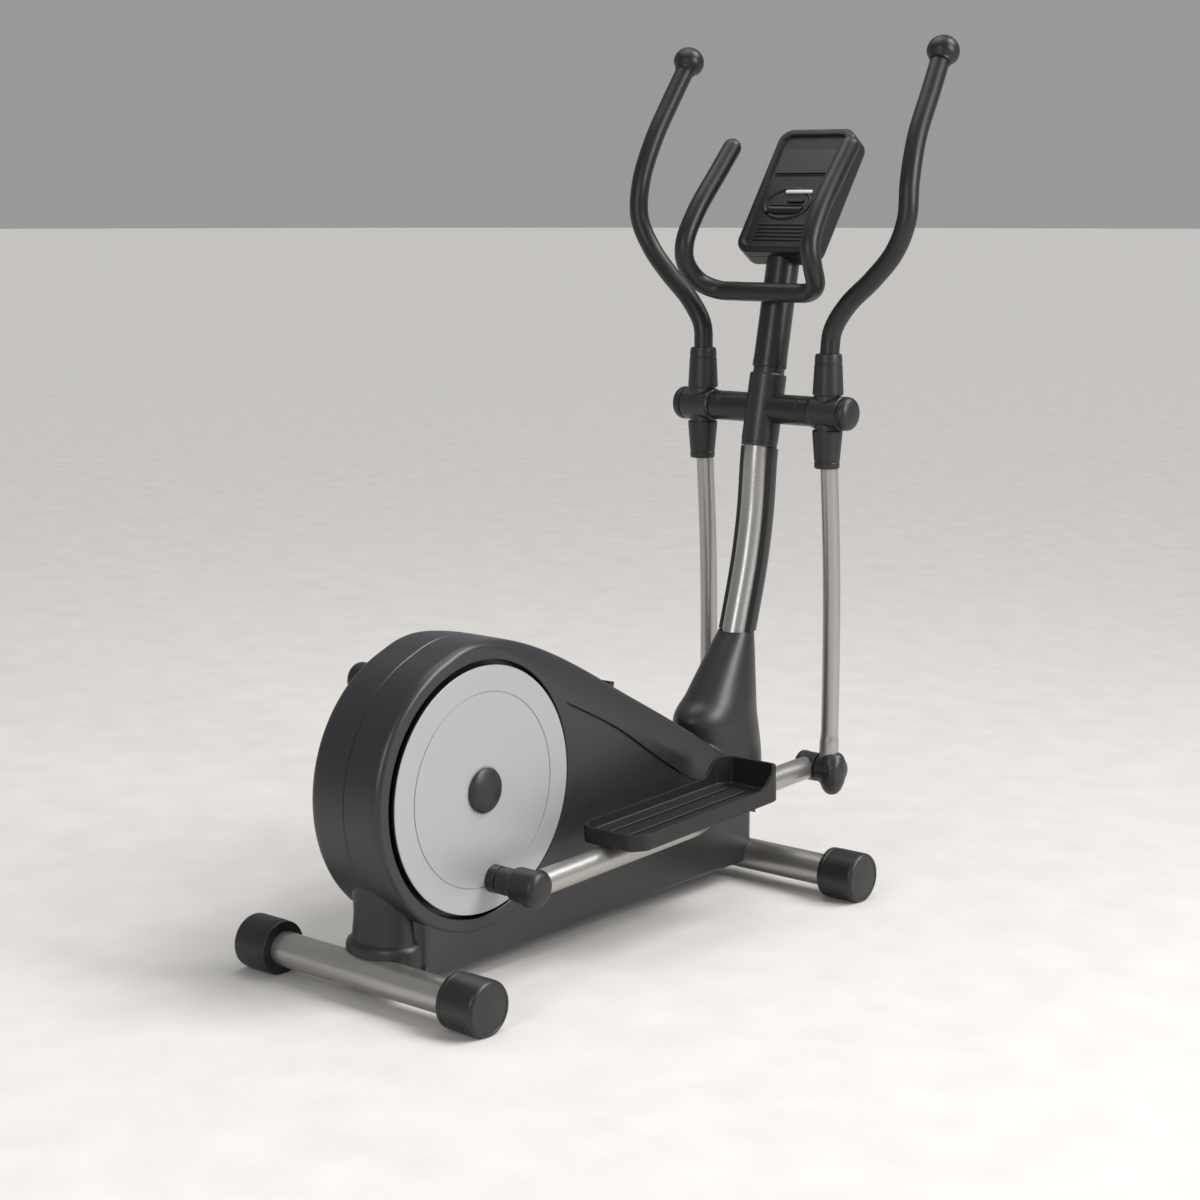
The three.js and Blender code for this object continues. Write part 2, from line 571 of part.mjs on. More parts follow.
// One side of the crank: the left pin is half a turn from the right one.
function crankSide(group, side, sign) {
  const half = new THREE.Group();
  half.position.set(0, AXLE.y, AXLE.z);
  half.rotation.x = CRANK_ANGLE + (sign < 0 ? Math.PI : 0);
  half.scale.x = sign;
  group.add(half);
  const arm = new THREE.Shape();
  arm.absarc(0, 0, 26, 0, Math.PI);
  arm.absarc(0, -CRANK_RADIUS, PIN_RADIUS, Math.PI, 2 * Math.PI);
  arm.closePath();
  const armPlate = slab(arm, 60, DISC_FACE - 10 - GAP);
  const pin = turned([[0, 62], [PIN_RADIUS, 62], [PIN_RADIUS, PIN_END - 3], [PIN_RADIUS - 3, PIN_END],
    [0, PIN_END]], 0, -CRANK_RADIUS);
  const axleHole = barX(50, 90, runningFit(AXLE_RADIUS), 0, 0);
  addPart(half, `${side}_crank_arm`, cut(join(armPlate, pin), axleHole), blackPaint);

  const back = DISC_FACE - 10;
  const disc = turned([[0, back], [DISC_RADIUS, back], [DISC_RADIUS, DISC_FACE - 3],
    [DISC_RADIUS - 3, DISC_FACE], [170, DISC_FACE], [169, DISC_FACE - 1.2], [167, DISC_FACE - 1.2],
    [166, DISC_FACE], [0, DISC_FACE]], 0, 0, FINE);
  const pinHole = barX(back - 5, DISC_FACE + 5, PIN_RADIUS + GAP, 0, -CRANK_RADIUS);
  addPart(half, `${side}_crank_disc`, cut(disc, pinHole), discPaint);
  const capBase = DISC_FACE + GAP;
  const cap = turned([[0, capBase], [38, capBase], [39, capBase + 3], [35, capBase + 9],
    [22, capBase + 13], [0, capBase + 15]], 0, 0);
  addPart(half, `${side}_hub_cap`, cap, mattePlastic);
}

// ---------- flywheel, belt, idler and brake ----------
function drive(group) {
  const { y, z, radius } = FLYWHEEL;
  const hub = FLYWHEEL_AXLE_RADIUS + 2 * GAP;
  const wheel = turned([[hub, -30], [22, -30], [22, -20], [92, -20], [98, -26], [radius, -26], [radius, -6],
    [98, -6], [92, -12], [22, -12], [22, -2], [hub, -2]], y, z, FINE);
  addPart(group, "flywheel", wheel, castIron);
  const axle = turned([[0, -44], [FLYWHEEL_AXLE_RADIUS, -44], [FLYWHEEL_AXLE_RADIUS, 40],
    [SMALL_PULLEY_RADIUS - GAP, 40], [SMALL_PULLEY_RADIUS - GAP, 54], [0, 54]], y, z);
  addPart(group, "flywheel_axle", axle, steel);
  const pulleyRoom = barX(38, 56, runningFit(PULLEY_RADIUS, FINE), AXLE.y, AXLE.z, FINE);
  addPart(group, "drive_belt", cut(slab(beltOutline(), ...BELT_X, 0, 12), pulleyRoom), beltRubber);
  const idlerBore = runningFit(IDLER.pin);
  const idler = turned([[idlerBore, 41], [IDLER.radius, 41], [IDLER.radius, 53], [idlerBore, 53]],
    IDLER.y, IDLER.z);
  addPart(group, "idler_wheel", idler, mattePlastic);
  addPart(group, "brake_bracket", brakeBracket(), castIron);
}

// The belt's run around both pulleys, as an outer line with the inner one as a hole.
function beltOutline() {
  const loop = (offset, shape) => {
    const large = PULLEY_RADIUS + GAP + offset;
    const small = SMALL_PULLEY_RADIUS + offset;
    const reach = Math.hypot(FLYWHEEL.y - AXLE.y, FLYWHEEL.z - AXLE.z);
    const centres = Math.atan2(FLYWHEEL.z - AXLE.z, FLYWHEEL.y - AXLE.y);
    const wrap = Math.acos((large - small) / reach);
    shape.absarc(AXLE.y, AXLE.z, large, centres + wrap, centres - wrap + 2 * Math.PI);
    shape.absarc(FLYWHEEL.y, FLYWHEEL.z, small, centres - wrap, centres + wrap);
    shape.closePath();
    return shape;
  };
  const outline = loop(4, new THREE.Shape());
  outline.holes.push(loop(0, new THREE.Path()));
  return outline;
}

// Curved magnet carrier in front of the flywheel, hung on the frame's brake pin.
function brakeBracket() {
  const { y, z, radius } = FLYWHEEL;
  const arc = new THREE.Shape();
  const start = THREE.MathUtils.degToRad(-58);
  const end = THREE.MathUtils.degToRad(36);
  arc.absarc(y, z, radius + 14, start, end);
  arc.absarc(y, z, radius + 5, end, start, true);
  arc.closePath();
  const eye = barX(-28, -4, 13, BRAKE_PIVOT.y, BRAKE_PIVOT.z);
  const webCorners = [[400, 92], [418, 88], [440, 118], [426, 128]];
  const web = new THREE.Shape(webCorners.map((corner) => new THREE.Vector2(...corner)));
  const pinHole = barX(-30, -2, runningFit(BRAKE_PIVOT.pin), BRAKE_PIVOT.y, BRAKE_PIVOT.z);
  const wheelRoom = barX(-30, -2, radius + 4, y, z, FINE);
  return cut(join(slab(arc, -28, -4), eye, slab(web, -28, -4)), pinHole, wheelRoom);
}

// ---------- pedals ----------
// Each pedal tube runs from its crank pin to the eye at the bottom of the swing arm.
function pedal(group, side, pin) {
  const length = Math.hypot(ARM_FOOT.y - pin.y, ARM_FOOT.z - pin.z);
  const local = new THREE.Group();
  local.position.set(0, pin.y, pin.z);
  local.rotation.x = Math.atan2(ARM_FOOT.z - pin.z, ARM_FOOT.y - pin.y);
  group.add(local);

  const { x, radius, wall } = PEDAL_TUBE;
  const knuckleRadius = 30;
  const knuckle = turned([[0, PIN_END + 1], [23, PIN_END + 1], [24, PIN_END + 3], [24, 130],
    [knuckleRadius, 138], [knuckleRadius, 186], [25, 193], [12, 196], [0, 196]], 0, 0);
  const chin = new THREE.CylinderGeometry(21, 17, 40, 8).rotateX(Math.PI / 2).translate(x + 8, 0, -20);
  const start = knuckleRadius + GAP;
  const { lerp, smoothstep } = THREE.MathUtils;
  const bend = [0.15, 0.35, 0.5, 0.65, 0.85].map((share) => {
    const inwards = smoothstep(share, 0, 1);
    return [lerp(x, PEDAL_EYE.x, inwards), lerp(PEDAL_BEND.start, PEDAL_BEND.end, share), 0];
  });
  const path = [[x, start - 20, 0], [x, PEDAL_BEND.start / 2, 0], [x, PEDAL_BEND.start, 0], ...bend,
    [PEDAL_EYE.x, PEDAL_BEND.end, 0], [PEDAL_EYE.x, length - 60, 0], [PEDAL_EYE.x, length, 0]];
  const knuckleRoom = barX(90, 210, knuckleRadius + GAP, 0, 0);
  const eyeRoom = barX(80, 131, PEDAL_EYE.radius + GAP, length, 0);
  addPart(local, `${side}_pedal_knuckle`, join(knuckle, chin), mattePlastic);
  const tube = cut(tubeAlong(path, radius, radius - wall, 14, 10), knuckleRoom, eyeRoom);
  addPart(local, `${side}_pedal_tube`, keepLargest(tube), silverPaint);

  const eye = turned([[0, 86], [PEDAL_EYE.radius - 2, 86], [PEDAL_EYE.radius, 89], [PEDAL_EYE.radius, 127],
    [PEDAL_EYE.radius - 2, 129.5], [0, 129.5]], length, 0);
  const pinHole = barX(91, 135, runningFit(10), length, 0);
  addPart(local, `${side}_pedal_eye`, cut(eye, pinHole), blackPlastic);
  addPart(local, `${side}_footplate`, footplate(radius + GAP), mattePlastic);
}

// The largest of the separate pieces that a cut leaves.
function keepLargest(geometry) {
  const pieces = toSolid(geometry).decompose();
  return toGeometry(pieces.reduce((best, piece) => (piece.volume() > best.volume() ? piece : best)));
}

// Tray with low side walls, a tall wall round the toes and ribs along the tread.
function footplate(base) {
  const { x0, x1, start, length, height, toe } = FOOTPLATE;
  const width = x1 - x0;
  const centre = [(x0 + x1) / 2, start + length / 2];
  const plan = (inset, radius) => {
    const shape = roundedRectangle(width - 2 * inset, length - 2 * inset, radius);
    const raised = (depth) =>
      new THREE.ExtrudeGeometry(shape, { depth, bevelEnabled: false, curveSegments: 3 });
    return (z0, z1) => raised(z1 - z0).translate(centre[0], centre[1], z0);
  };
  const outer = plan(0, 22);
  const inner = plan(6, 17);
  const tray = cut(outer(base, base + height), inner(base + 12, base + height + 10));
  const toeWall = cut(
    outer(base + 1, base + toe),
    inner(base, base + toe + 10),
    block([x0 - 5, start - 5, base - 5], [x1 + 5, start + length - 95, base + toe + 5]),
    slopeCut(start + length - 95, base + height, base + toe),
  );
  const ribs = [];
  for (let i = 0; i < 5; i += 1) {
    const x = x0 + 23 + i * 24;
    ribs.push(block([x - 4, start + 22, base + 10], [x + 4, start + length - 40, base + 15]));
  }
  return join(tray, toeWall, ...ribs);
}

// Wedge that slopes the top of the toe wall down to the tray's side walls.
function slopeCut(y, low, high) {
  const corners = [[y - 10, low - 4], [y + 70, high + 0.5], [y + 70, high + 30], [y - 10, high + 30]];
  return slab(new THREE.Shape(corners.map((corner) => new THREE.Vector2(...corner))), 0, 300);
}

// ---------- fixed handlebar ----------
function fixedHandlebar(group) {
  const right = [[60, 896, 1130], [108, 893, 1132], [138, 872, 1148], [150, 844, 1185], [148, 838, 1222],
    [145, 868, 1280], [141, 940, 1364], [139, 990, 1420]];
  const left = right.map(([x, y, z]) => [-x, y, z]).reverse();
  const bar = tubeAlong([...left, [0, 896.5, 1130], ...right], 18.5, 0, 28, 8);
  addPart(group, "fixed_handlebar", bar, foam);
}

// ---------- console ----------
function consoleGroup() {
  const group = new THREE.Group();
  group.position.set(0, CONSOLE.y, CONSOLE.z);
  group.rotation.x = -CONSOLE_LEAN;
  group.updateMatrixWorld(true);
  return group;
}

// A rounded rectangle in the console's face plane, from y0 to y1 behind its face.
function facePlate(width, height, radius, y0, y1, x = 0, z = 0) {
  const shape = roundedRectangle(width, height, radius);
  return new THREE.ExtrudeGeometry(shape, { depth: y1 - y0, bevelEnabled: false, curveSegments: 3 })
    .rotateX(Math.PI / 2).translate(x, y1, z);
}

function consoleBlock(grow) {
  const { width, height, depth } = CONSOLE;
  return facePlate(width + 2 * grow, height + 2 * grow, 30, -grow, depth + grow)
    .applyMatrix4(consoleGroup().matrixWorld);
}

// Controls on the console's face: a thumb roller lying across it and two bar-shaped buttons.
const ROLLER = { x: -8, y: 11, z: -46, radius: 9, length: 78 };
const BUTTONS = [
  { name: "start_button", x: 11, z: -5, width: 64, height: 8 },
  { name: "mode_button", x: 10, z: -26, width: 38, height: 7 },
];
const CONSOLE_SPLIT = 24; // from the face back to the joint between the two shells
const CONSOLE_FLOOR = 7; // depth of the recess in the face

function console3d(parent) {
  const group = consoleGroup();
  parent.add(group);
  const { width, height, depth } = CONSOLE;
  const cavity = facePlate(width - 8, height - 8, 27, CONSOLE_FLOOR + 3, CONSOLE_SPLIT + 1);
  const recess = facePlate(width - 24, height - 30, 16, -1, CONSOLE_FLOOR);
  const rollerSlot = facePlate(ROLLER.length + 4, 2 * ROLLER.radius + 4, 4, -5, 15, ROLLER.x, ROLLER.z);
  const buttonHoles = BUTTONS.map(({ x, z, width: across, height: tall }) =>
    facePlate(across + 1, tall + 1, tall / 2, -5, 15, x, z));
  const frontBlock = facePlate(width, height, 30, 0, CONSOLE_SPLIT);
  const front = cut(frontBlock, cavity, recess, rollerSlot, ...buttonHoles);
  addPart(group, "console_front_shell", front, blackPlastic);
  const rearCavity = facePlate(width - 8, height - 8, 27, CONSOLE_SPLIT, depth - 3);
  const rear = cut(facePlate(width, height, 30, CONSOLE_SPLIT + GAP, depth), rearCavity);
  addPart(group, "console_rear_shell", rear, blackPlastic);
  const lens = facePlate(132, 56, 5, 4, CONSOLE_FLOOR - GAP, 0, 66);
  addPart(group, "display_lens", lens, lensPlastic);
  const rollerEnds = [ROLLER.x - ROLLER.length / 2, ROLLER.x + ROLLER.length / 2];
  const roller = barX(...rollerEnds, ROLLER.radius, ROLLER.y, ROLLER.z);
  addPart(group, "control_roller", roller, mattePlastic);
  for (const { name, x, z, width: across, height: tall } of BUTTONS) {
    addPart(group, name, facePlate(across, tall, tall / 2 - 0.5, 3, 12, x, z), silverPaint);
  }
}

// ---------- assembly ----------
const machine = new THREE.Group();
mainFrame(machine);
feet(machine);
bodyShells(machine);
mastShroud(machine);
rearBracket(machine);
mast(machine);
crossAxle(machine);
fixedHandlebar(machine);
console3d(machine);
crank(machine);
drive(machine);
for (const [side, sign] of SIDES) {
  const half = sideGroup(machine, sign);
  swingArm(half, side);
  const reach = CRANK_RADIUS * sign;
  pedal(half, side, {
    y: AXLE.y + reach * Math.sin(CRANK_ANGLE),
    z: AXLE.z - reach * Math.cos(CRANK_ANGLE),
  });
}

const rearEnd = REAR_FOOT.y - FOOT_CAP_RADIUS;
const frontEnd = CONSOLE.y + (CONSOLE.height / 2) * Math.sin(CONSOLE_LEAN)
  + CONSOLE.depth * Math.cos(CONSOLE_LEAN);
machine.position.y = -(rearEnd + frontEnd) / 2;

const group = new THREE.Group();
group.add(machine);
export default group;
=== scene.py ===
"""Elliptical cross trainer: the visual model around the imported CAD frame, in metres.

+X is the user's right, +Y is forwards, towards the console, and +Z is up from the floor.
"""

import json
import math

import bmesh
import bpy
from mathutils import Matrix, Vector

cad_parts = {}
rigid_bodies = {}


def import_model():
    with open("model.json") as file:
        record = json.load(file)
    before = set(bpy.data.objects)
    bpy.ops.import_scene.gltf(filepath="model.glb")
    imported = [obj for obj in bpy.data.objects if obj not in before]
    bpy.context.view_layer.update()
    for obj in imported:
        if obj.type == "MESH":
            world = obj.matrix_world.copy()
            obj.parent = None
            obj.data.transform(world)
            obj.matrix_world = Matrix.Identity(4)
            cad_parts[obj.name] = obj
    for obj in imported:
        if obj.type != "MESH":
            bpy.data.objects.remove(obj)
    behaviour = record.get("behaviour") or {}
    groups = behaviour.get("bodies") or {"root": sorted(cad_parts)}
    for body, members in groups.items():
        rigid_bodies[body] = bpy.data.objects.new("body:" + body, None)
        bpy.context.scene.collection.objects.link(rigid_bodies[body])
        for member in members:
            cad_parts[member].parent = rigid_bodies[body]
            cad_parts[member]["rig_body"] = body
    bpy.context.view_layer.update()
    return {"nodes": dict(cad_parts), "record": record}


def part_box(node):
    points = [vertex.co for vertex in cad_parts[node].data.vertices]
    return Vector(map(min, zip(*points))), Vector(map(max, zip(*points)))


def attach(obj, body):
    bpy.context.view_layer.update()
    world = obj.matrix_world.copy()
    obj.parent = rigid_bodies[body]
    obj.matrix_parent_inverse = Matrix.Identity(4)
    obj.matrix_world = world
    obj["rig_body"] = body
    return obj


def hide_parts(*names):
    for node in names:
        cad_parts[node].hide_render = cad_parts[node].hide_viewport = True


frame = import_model()
SLOT_OF = {row["node"]: row["material_slot"] for row in frame["record"]["subparts"]}

# ---------- places taken from the frame ----------


def middle(node):
    low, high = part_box(node)
    return (low + high) / 2


AXLE = middle("crank_axle")
ARM_AXLE = middle("cross_axle")
ARM_FOOT = middle("right_pedal_eye")
REAR_FOOT = middle("rear_stabilizer_tube")
FRONT_FOOT = middle("front_stabilizer_tube")
SIDES = (("right", 1), ("left", -1))

# ---------- driving dimensions ----------
BODY_HALF = 0.079
DRUM_RADIUS = 0.247
DISC_RADIUS = 0.2125
DISC_FACE = 0.0844
CRANK_RADIUS = 0.16
CRANK_ANGLE = math.radians(8)
FOOT_TUBE_RADIUS = 0.03
ARM_X = 0.15
MAST_LEAN = math.radians(11.6)
MAST_LINE = Vector((0, math.sin(MAST_LEAN), math.cos(MAST_LEAN)))
CONSOLE_LEAN = math.radians(34.5)
CONSOLE = {"y": 0.99476, "z": 1.328, "width": 0.18, "height": 0.286, "depth": 0.062}


def ahead(y):
    """A distance forwards of the crank axle, as a place in the frame."""
    return AXLE.y + y


def mm(*points):
    """Points from their measures in millimetres."""
    return [tuple(value / 1000 for value in point) for point in points]


def side_point(x, y, z):
    """A point from its distance forwards of the crank axle and its height above the floor."""
    return Vector((x, ahead(y), z))


def across_x(y, z, x):
    """A point of a form that is drawn in a plane across X and grows along X."""
    return Vector((x, y, z))


def from_side(y, z, x):
    """The same point for a form that is drawn on the side of the body and grows along X."""
    return side_point(x, y, z)


# ---------- mesh tools ----------


def skin(bm, rings, wrap=False, caps=True):
    """Joins rings of points into a surface. A ring of one point is a pole."""
    made = [[bm.verts.new(point) for point in ring] for ring in rings]
    pairs = list(zip(made, made[1:]))
    if wrap:
        pairs.append((made[-1], made[0]))
    for low, high in pairs:
        count = max(len(low), len(high))
        for i in range(count):
            j = (i + 1) % count
            if len(low) == 1:
                corners = (low[0], high[j], high[i])
            elif len(high) == 1:
                corners = (low[i], low[j], high[0])
            else:
                corners = (low[i], low[j], high[j], high[i])
            bm.faces.new(corners)
    if caps and not wrap:
        for ring in (made[0], made[-1]):
            if len(ring) > 2:
                bm.faces.new(ring)


def lathe(bm, profile, origin, axis=(1, 0, 0), segments=96, wrap=False):
    """A turned form about an axis through origin, from (along, radius) points."""
    axis = Vector(axis).normalized()
    across = axis.orthogonal().normalized()
    up = axis.cross(across)
    rings = []
    for along, radius in profile:
        centre = Vector(origin) + axis * along
        if radius < 1e-6:
            rings.append([centre])
            continue
        angles = [2 * math.pi * i / segments for i in range(segments)]
        rings.append([centre + (across * math.cos(a) + up * math.sin(a)) * radius for a in angles])
    skin(bm, rings, wrap=wrap)


def fillet(points, radius, steps=5, closed=False):
    """Rounds the corners of a flat line of points."""
    points = [Vector(p) for p in points]
    count = len(points)
    made = []
    for i, corner in enumerate(points):
        if not closed and i in (0, count - 1):
            made.append(corner)
            continue
        before = points[i - 1] - corner
        after = points[(i + 1) % count] - corner
        reach = min(radius, 0.45 * before.length, 0.45 * after.length)
        start = corner + before.normalized() * reach
        end = corner + after.normalized() * reach
        for k in range(steps + 1):
            t = k / steps
            made.append(start * (1 - t) ** 2 + corner * 2 * t * (1 - t) + end * t * t)
    return made


def spline(points, per_span=10):
    """A smooth line through points, as a centripetal Catmull-Rom curve."""
    points = [Vector(p) for p in points]
    ends = [2 * points[0] - points[1], *points, 2 * points[-1] - points[-2]]
    made = []
    for a, b, c, d in zip(ends, ends[1:], ends[2:], ends[3:]):
        knots = [0.0]
        for p, q in ((a, b), (b, c), (c, d)):
            knots.append(knots[-1] + max((q - p).length, 1e-9) ** 0.5)
        t0, t1, t2, t3 = knots
        for k in range(per_span):
            t = t1 + (t2 - t1) * k / per_span
            ab = a * ((t1 - t) / (t1 - t0)) + b * ((t - t0) / (t1 - t0))
            bc = b * ((t2 - t) / (t2 - t1)) + c * ((t - t1) / (t2 - t1))
            cd = c * ((t3 - t) / (t3 - t2)) + d * ((t - t2) / (t3 - t2))
            abc = ab * ((t2 - t) / (t2 - t0)) + bc * ((t - t0) / (t2 - t0))
            bcd = bc * ((t3 - t) / (t3 - t1)) + cd * ((t - t1) / (t3 - t1))
            made.append(abc * ((t2 - t) / (t2 - t1)) + bcd * ((t - t1) / (t2 - t1)))
    made.append(points[-1])
    return made


def evenly(points, spacing):
    """The same line with points at even distances along it."""
    lengths = [0.0]
    for a, b in zip(points, points[1:]):
        lengths.append(lengths[-1] + (b - a).length)
    count = max(2, round(lengths[-1] / spacing))
    made = []
    span = 0
    for k in range(count + 1):
        target = lengths[-1] * k / count
        while span < len(points) - 2 and lengths[span + 1] < target:
            span += 1
        share = (target - lengths[span]) / max(lengths[span + 1] - lengths[span], 1e-9)
        made.append(points[span].lerp(points[span + 1], min(max(share, 0), 1)))
    return made


def tangents(path):
    ends = [path[0], *path, path[-1]]
    return [(after - before).normalized() for before, after in zip(ends, ends[2:])]


def tube(bm, path, radius, sides=40, round_start=False, round_end=False):
    """A round bar along a path. radius is a number or a function of the distance along it."""
    size = radius if callable(radius) else (lambda along: radius)
    directions = tangents(path)
    across = directions[0].orthogonal().normalized()
    rings = []
    along = 0.0
    dome = [math.pi / 2 * k / 6 for k in range(6)]

    def ring(centre, direction, r):
        up = direction.cross(across)
        angles = [2 * math.pi * i / sides for i in range(sides)]
        return [centre + (across * math.cos(a) + up * math.sin(a)) * r for a in angles]

    for i, (centre, direction) in enumerate(zip(path, directions)):
        if i:
            along += (centre - path[i - 1]).length
        across = (across - direction * across.dot(direction)).normalized()
        r = size(along)
        if i == 0 and round_start:
            rings.append([centre - direction * r])
            for a in reversed(dome[1:]):
                rings.append(ring(centre - direction * r * math.sin(a), direction, r * math.cos(a)))
        rings.append(ring(centre, direction, r))
        if i == len(path) - 1 and round_end:
            for a in dome[1:]:
                rings.append(ring(centre + direction * r * math.sin(a), direction, r * math.cos(a)))
            rings.append([centre + direction * r])
    skin(bm, rings)


def inward(outline):
    """Unit normals of a closed flat outline drawn anticlockwise, pointing into it."""
    made = []
    count = len(outline)
    for i in range(count):
        before = (outline[i] - outline[i - 1]).normalized()
        after = (outline[(i + 1) % count] - outline[i]).normalized()
        normal = Vector((-(before.y + after.y), before.x + after.x)).normalized()
        bend = max(0.5, normal.dot(Vector((-after.y, after.x))))
        made.append(normal / bend)
    return made


def prism(bm, outline, levels, place):
    """A solid from an anticlockwise outline and (height, inset) levels, with flat ends.

    An inset is a number or a list with one number for each point of the outline."""
    outline = [Vector(p) for p in outline]
    normals = inward(outline)
    rings = []
    for height, inset in levels:
        insets = inset if isinstance(inset, list) else [inset] * len(outline)
        moved = [p + n * d for p, n, d in zip(outline, normals, insets)]
        rings.append([place(p.x, p.y, height) for p in moved])
    skin(bm, rings)


def rounded_levels(low, high, edge, steps=5, low_edge=None):
    """Levels of a prism whose two rims are rounded."""
    low_edge = edge if low_edge is None else low_edge
    turns = [math.pi / 2 * k / steps for k in range(steps + 1)]
    bottom = [(low + low_edge * (1 - math.cos(a)), low_edge * (1 - math.sin(a))) for a in turns]
    top = [(high - edge * (1 - math.sin(a)), edge * (1 - math.cos(a))) for a in turns]
    return bottom + top


def rounded_box(width, height, radius, steps=8):
    """An anticlockwise rectangle with round corners, about the origin."""
    corners = []
    for turn, (sx, sy) in enumerate(((1, 1), (-1, 1), (-1, -1), (1, -1))):
        for k in range(steps + 1):
            angle = math.pi / 2 * (turn + k / steps)
            centre = Vector((sx * (width / 2 - radius), sy * (height / 2 - radius)))
            corners.append(centre + Vector((math.cos(angle), math.sin(angle))) * radius)
    return corners


def block(bm, low, high):
    made = bmesh.ops.create_cube(bm, size=1)["verts"]
    low, high = Vector(low), Vector(high)
    for vertex in made:
        vertex.co = Vector((low[i] + (high[i] - low[i]) * (vertex.co[i] + 0.5) for i in range(3)))


# ---------- objects ----------
SHARP_ANGLE = 32


def to_object(name, bm):
    bmesh.ops.remove_doubles(bm, verts=bm.verts, dist=1e-6)
    bmesh.ops.recalc_face_normals(bm, faces=bm.faces)
    mesh = bpy.data.meshes.new(name)
    bm.to_mesh(mesh)
    bm.free()
    obj = bpy.data.objects.new(name, mesh)
    bpy.context.scene.collection.objects.link(obj)
    return obj


def solid(build, *args, **kwargs):
    """A temporary object made by one of the mesh tools."""
    bm = bmesh.new()
    build(bm, *args, **kwargs)
    return to_object("work", bm)


def apply_modifiers(obj):
    graph = bpy.context.evaluated_depsgraph_get()
    mesh = bpy.data.meshes.new_from_object(obj.evaluated_get(graph))
    obj.modifiers.clear()
    old = obj.data
    obj.data = mesh
    bpy.data.meshes.remove(old)


def combine(obj, tool, operation):
    """Cuts or joins obj with tool, which is used up."""
    modifier = obj.modifiers.new("boolean", "BOOLEAN")
    modifier.object = tool
    modifier.operation = operation
    modifier.solver = "MANIFOLD"
    apply_modifiers(obj)
    bpy.data.objects.remove(tool)
    return obj


def cut(obj, *tools):
    for tool in tools:
        combine(obj, tool, "DIFFERENCE")
    return obj


def join(obj, *tools):
    for tool in tools:
        combine(obj, tool, "UNION")
    return obj


def melt(obj, voxel, rounds):
    """Runs the overlapping forms of obj together into one smoothly blended form."""
    remesh = obj.modifiers.new("remesh", "REMESH")
    remesh.mode = "VOXEL"
    remesh.voxel_size = voxel
    smooth = obj.modifiers.new("smooth", "SMOOTH")
    smooth.factor = 0.5
    smooth.iterations = rounds
    apply_modifiers(obj)
    return obj


def twin(obj):
    made = obj.copy()
    made.data = obj.data.copy()
    bpy.context.scene.collection.objects.link(made)
    return made


def mirrored(obj, sign):
    """obj itself for the right side, or the same mesh mirrored across x = 0 for the left."""
    if sign < 0:
        obj.data.transform(Matrix.Scale(-1, 4, (1, 0, 0)))
        obj.data.flip_normals()
    return obj


def finished(obj, node, material=None):
    """Shades obj smoothly between its sharp edges. It stands for the CAD node and rides on its body."""
    obj.name = node + "_detailed"
    obj.data.name = obj.name
    bm = bmesh.new()
    bm.from_mesh(obj.data)
    bmesh.ops.remove_doubles(bm, verts=bm.verts, dist=2e-6)
    bmesh.ops.dissolve_degenerate(bm, edges=bm.edges, dist=2e-6)
    for face in bm.faces:
        face.smooth = True
    limit = math.radians(SHARP_ANGLE)
    for edge in bm.edges:
        edge.smooth = len(edge.link_faces) == 2 and edge.calc_face_angle(0) < limit
    bm.to_mesh(obj.data)
    bm.free()
    weighted = obj.modifiers.new("weighted normals", "WEIGHTED_NORMAL")
    weighted.keep_sharp = True
    obj.data.materials.clear()
    obj.data.materials.append(material or MATERIALS[SLOT_OF[node]])
    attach(obj, frame["nodes"][node]["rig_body"])
    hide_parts(node)
    return obj


# ---------- materials ----------
COAT_ROUGHNESS = 0.28
BUMP_DEPTH = 0.001


def surface(name, colour, roughness, metallic=0, mottle=(9, 0.1), grain=(900, 0.04), spread=0.06, coat=0):
    """A procedural finish: mottle is a slow change of tone, grain a fine bump, both (scale, amount)."""
    material = bpy.data.materials.new(name)
    material.use_nodes = True
    nodes, links = material.node_tree.nodes, material.node_tree.links
    shader = nodes["Principled BSDF"]
    shader.inputs["Metallic"].default_value = metallic
    shader.inputs["Coat Weight"].default_value = coat
    shader.inputs["Coat Roughness"].default_value = COAT_ROUGHNESS
    place = nodes.new("ShaderNodeTexCoord").outputs["Object"]

    def noise(scale, detail):
        node = nodes.new("ShaderNodeTexNoise")
        node.inputs["Scale"].default_value = scale
        node.inputs["Detail"].default_value = detail
        links.new(place, node.inputs["Vector"])
        return node.outputs["Fac"]

    tone = nodes.new("ShaderNodeMix")
    tone.data_type = "RGBA"
    tone.inputs["A"].default_value = (*[c * (1 - mottle[1]) for c in colour], 1)
    tone.inputs["B"].default_value = (*[c * (1 + mottle[1]) for c in colour], 1)
    links.new(noise(mottle[0], 4), tone.inputs["Factor"])
    links.new(tone.outputs["Result"], shader.inputs["Base Color"])

    polish = nodes.new("ShaderNodeMapRange")
    polish.inputs["To Min"].default_value = roughness - spread
    polish.inputs["To Max"].default_value = roughness + spread
    links.new(noise(mottle[0] * 4, 3), polish.inputs["Value"])
    links.new(polish.outputs["Result"], shader.inputs["Roughness"])

    bump = nodes.new("ShaderNodeBump")
    bump.inputs["Strength"].default_value = grain[1]
    bump.inputs["Distance"].default_value = BUMP_DEPTH
    links.new(noise(grain[0], 2), bump.inputs["Height"])
    links.new(bump.outputs["Normal"], shader.inputs["Normal"])
    return material


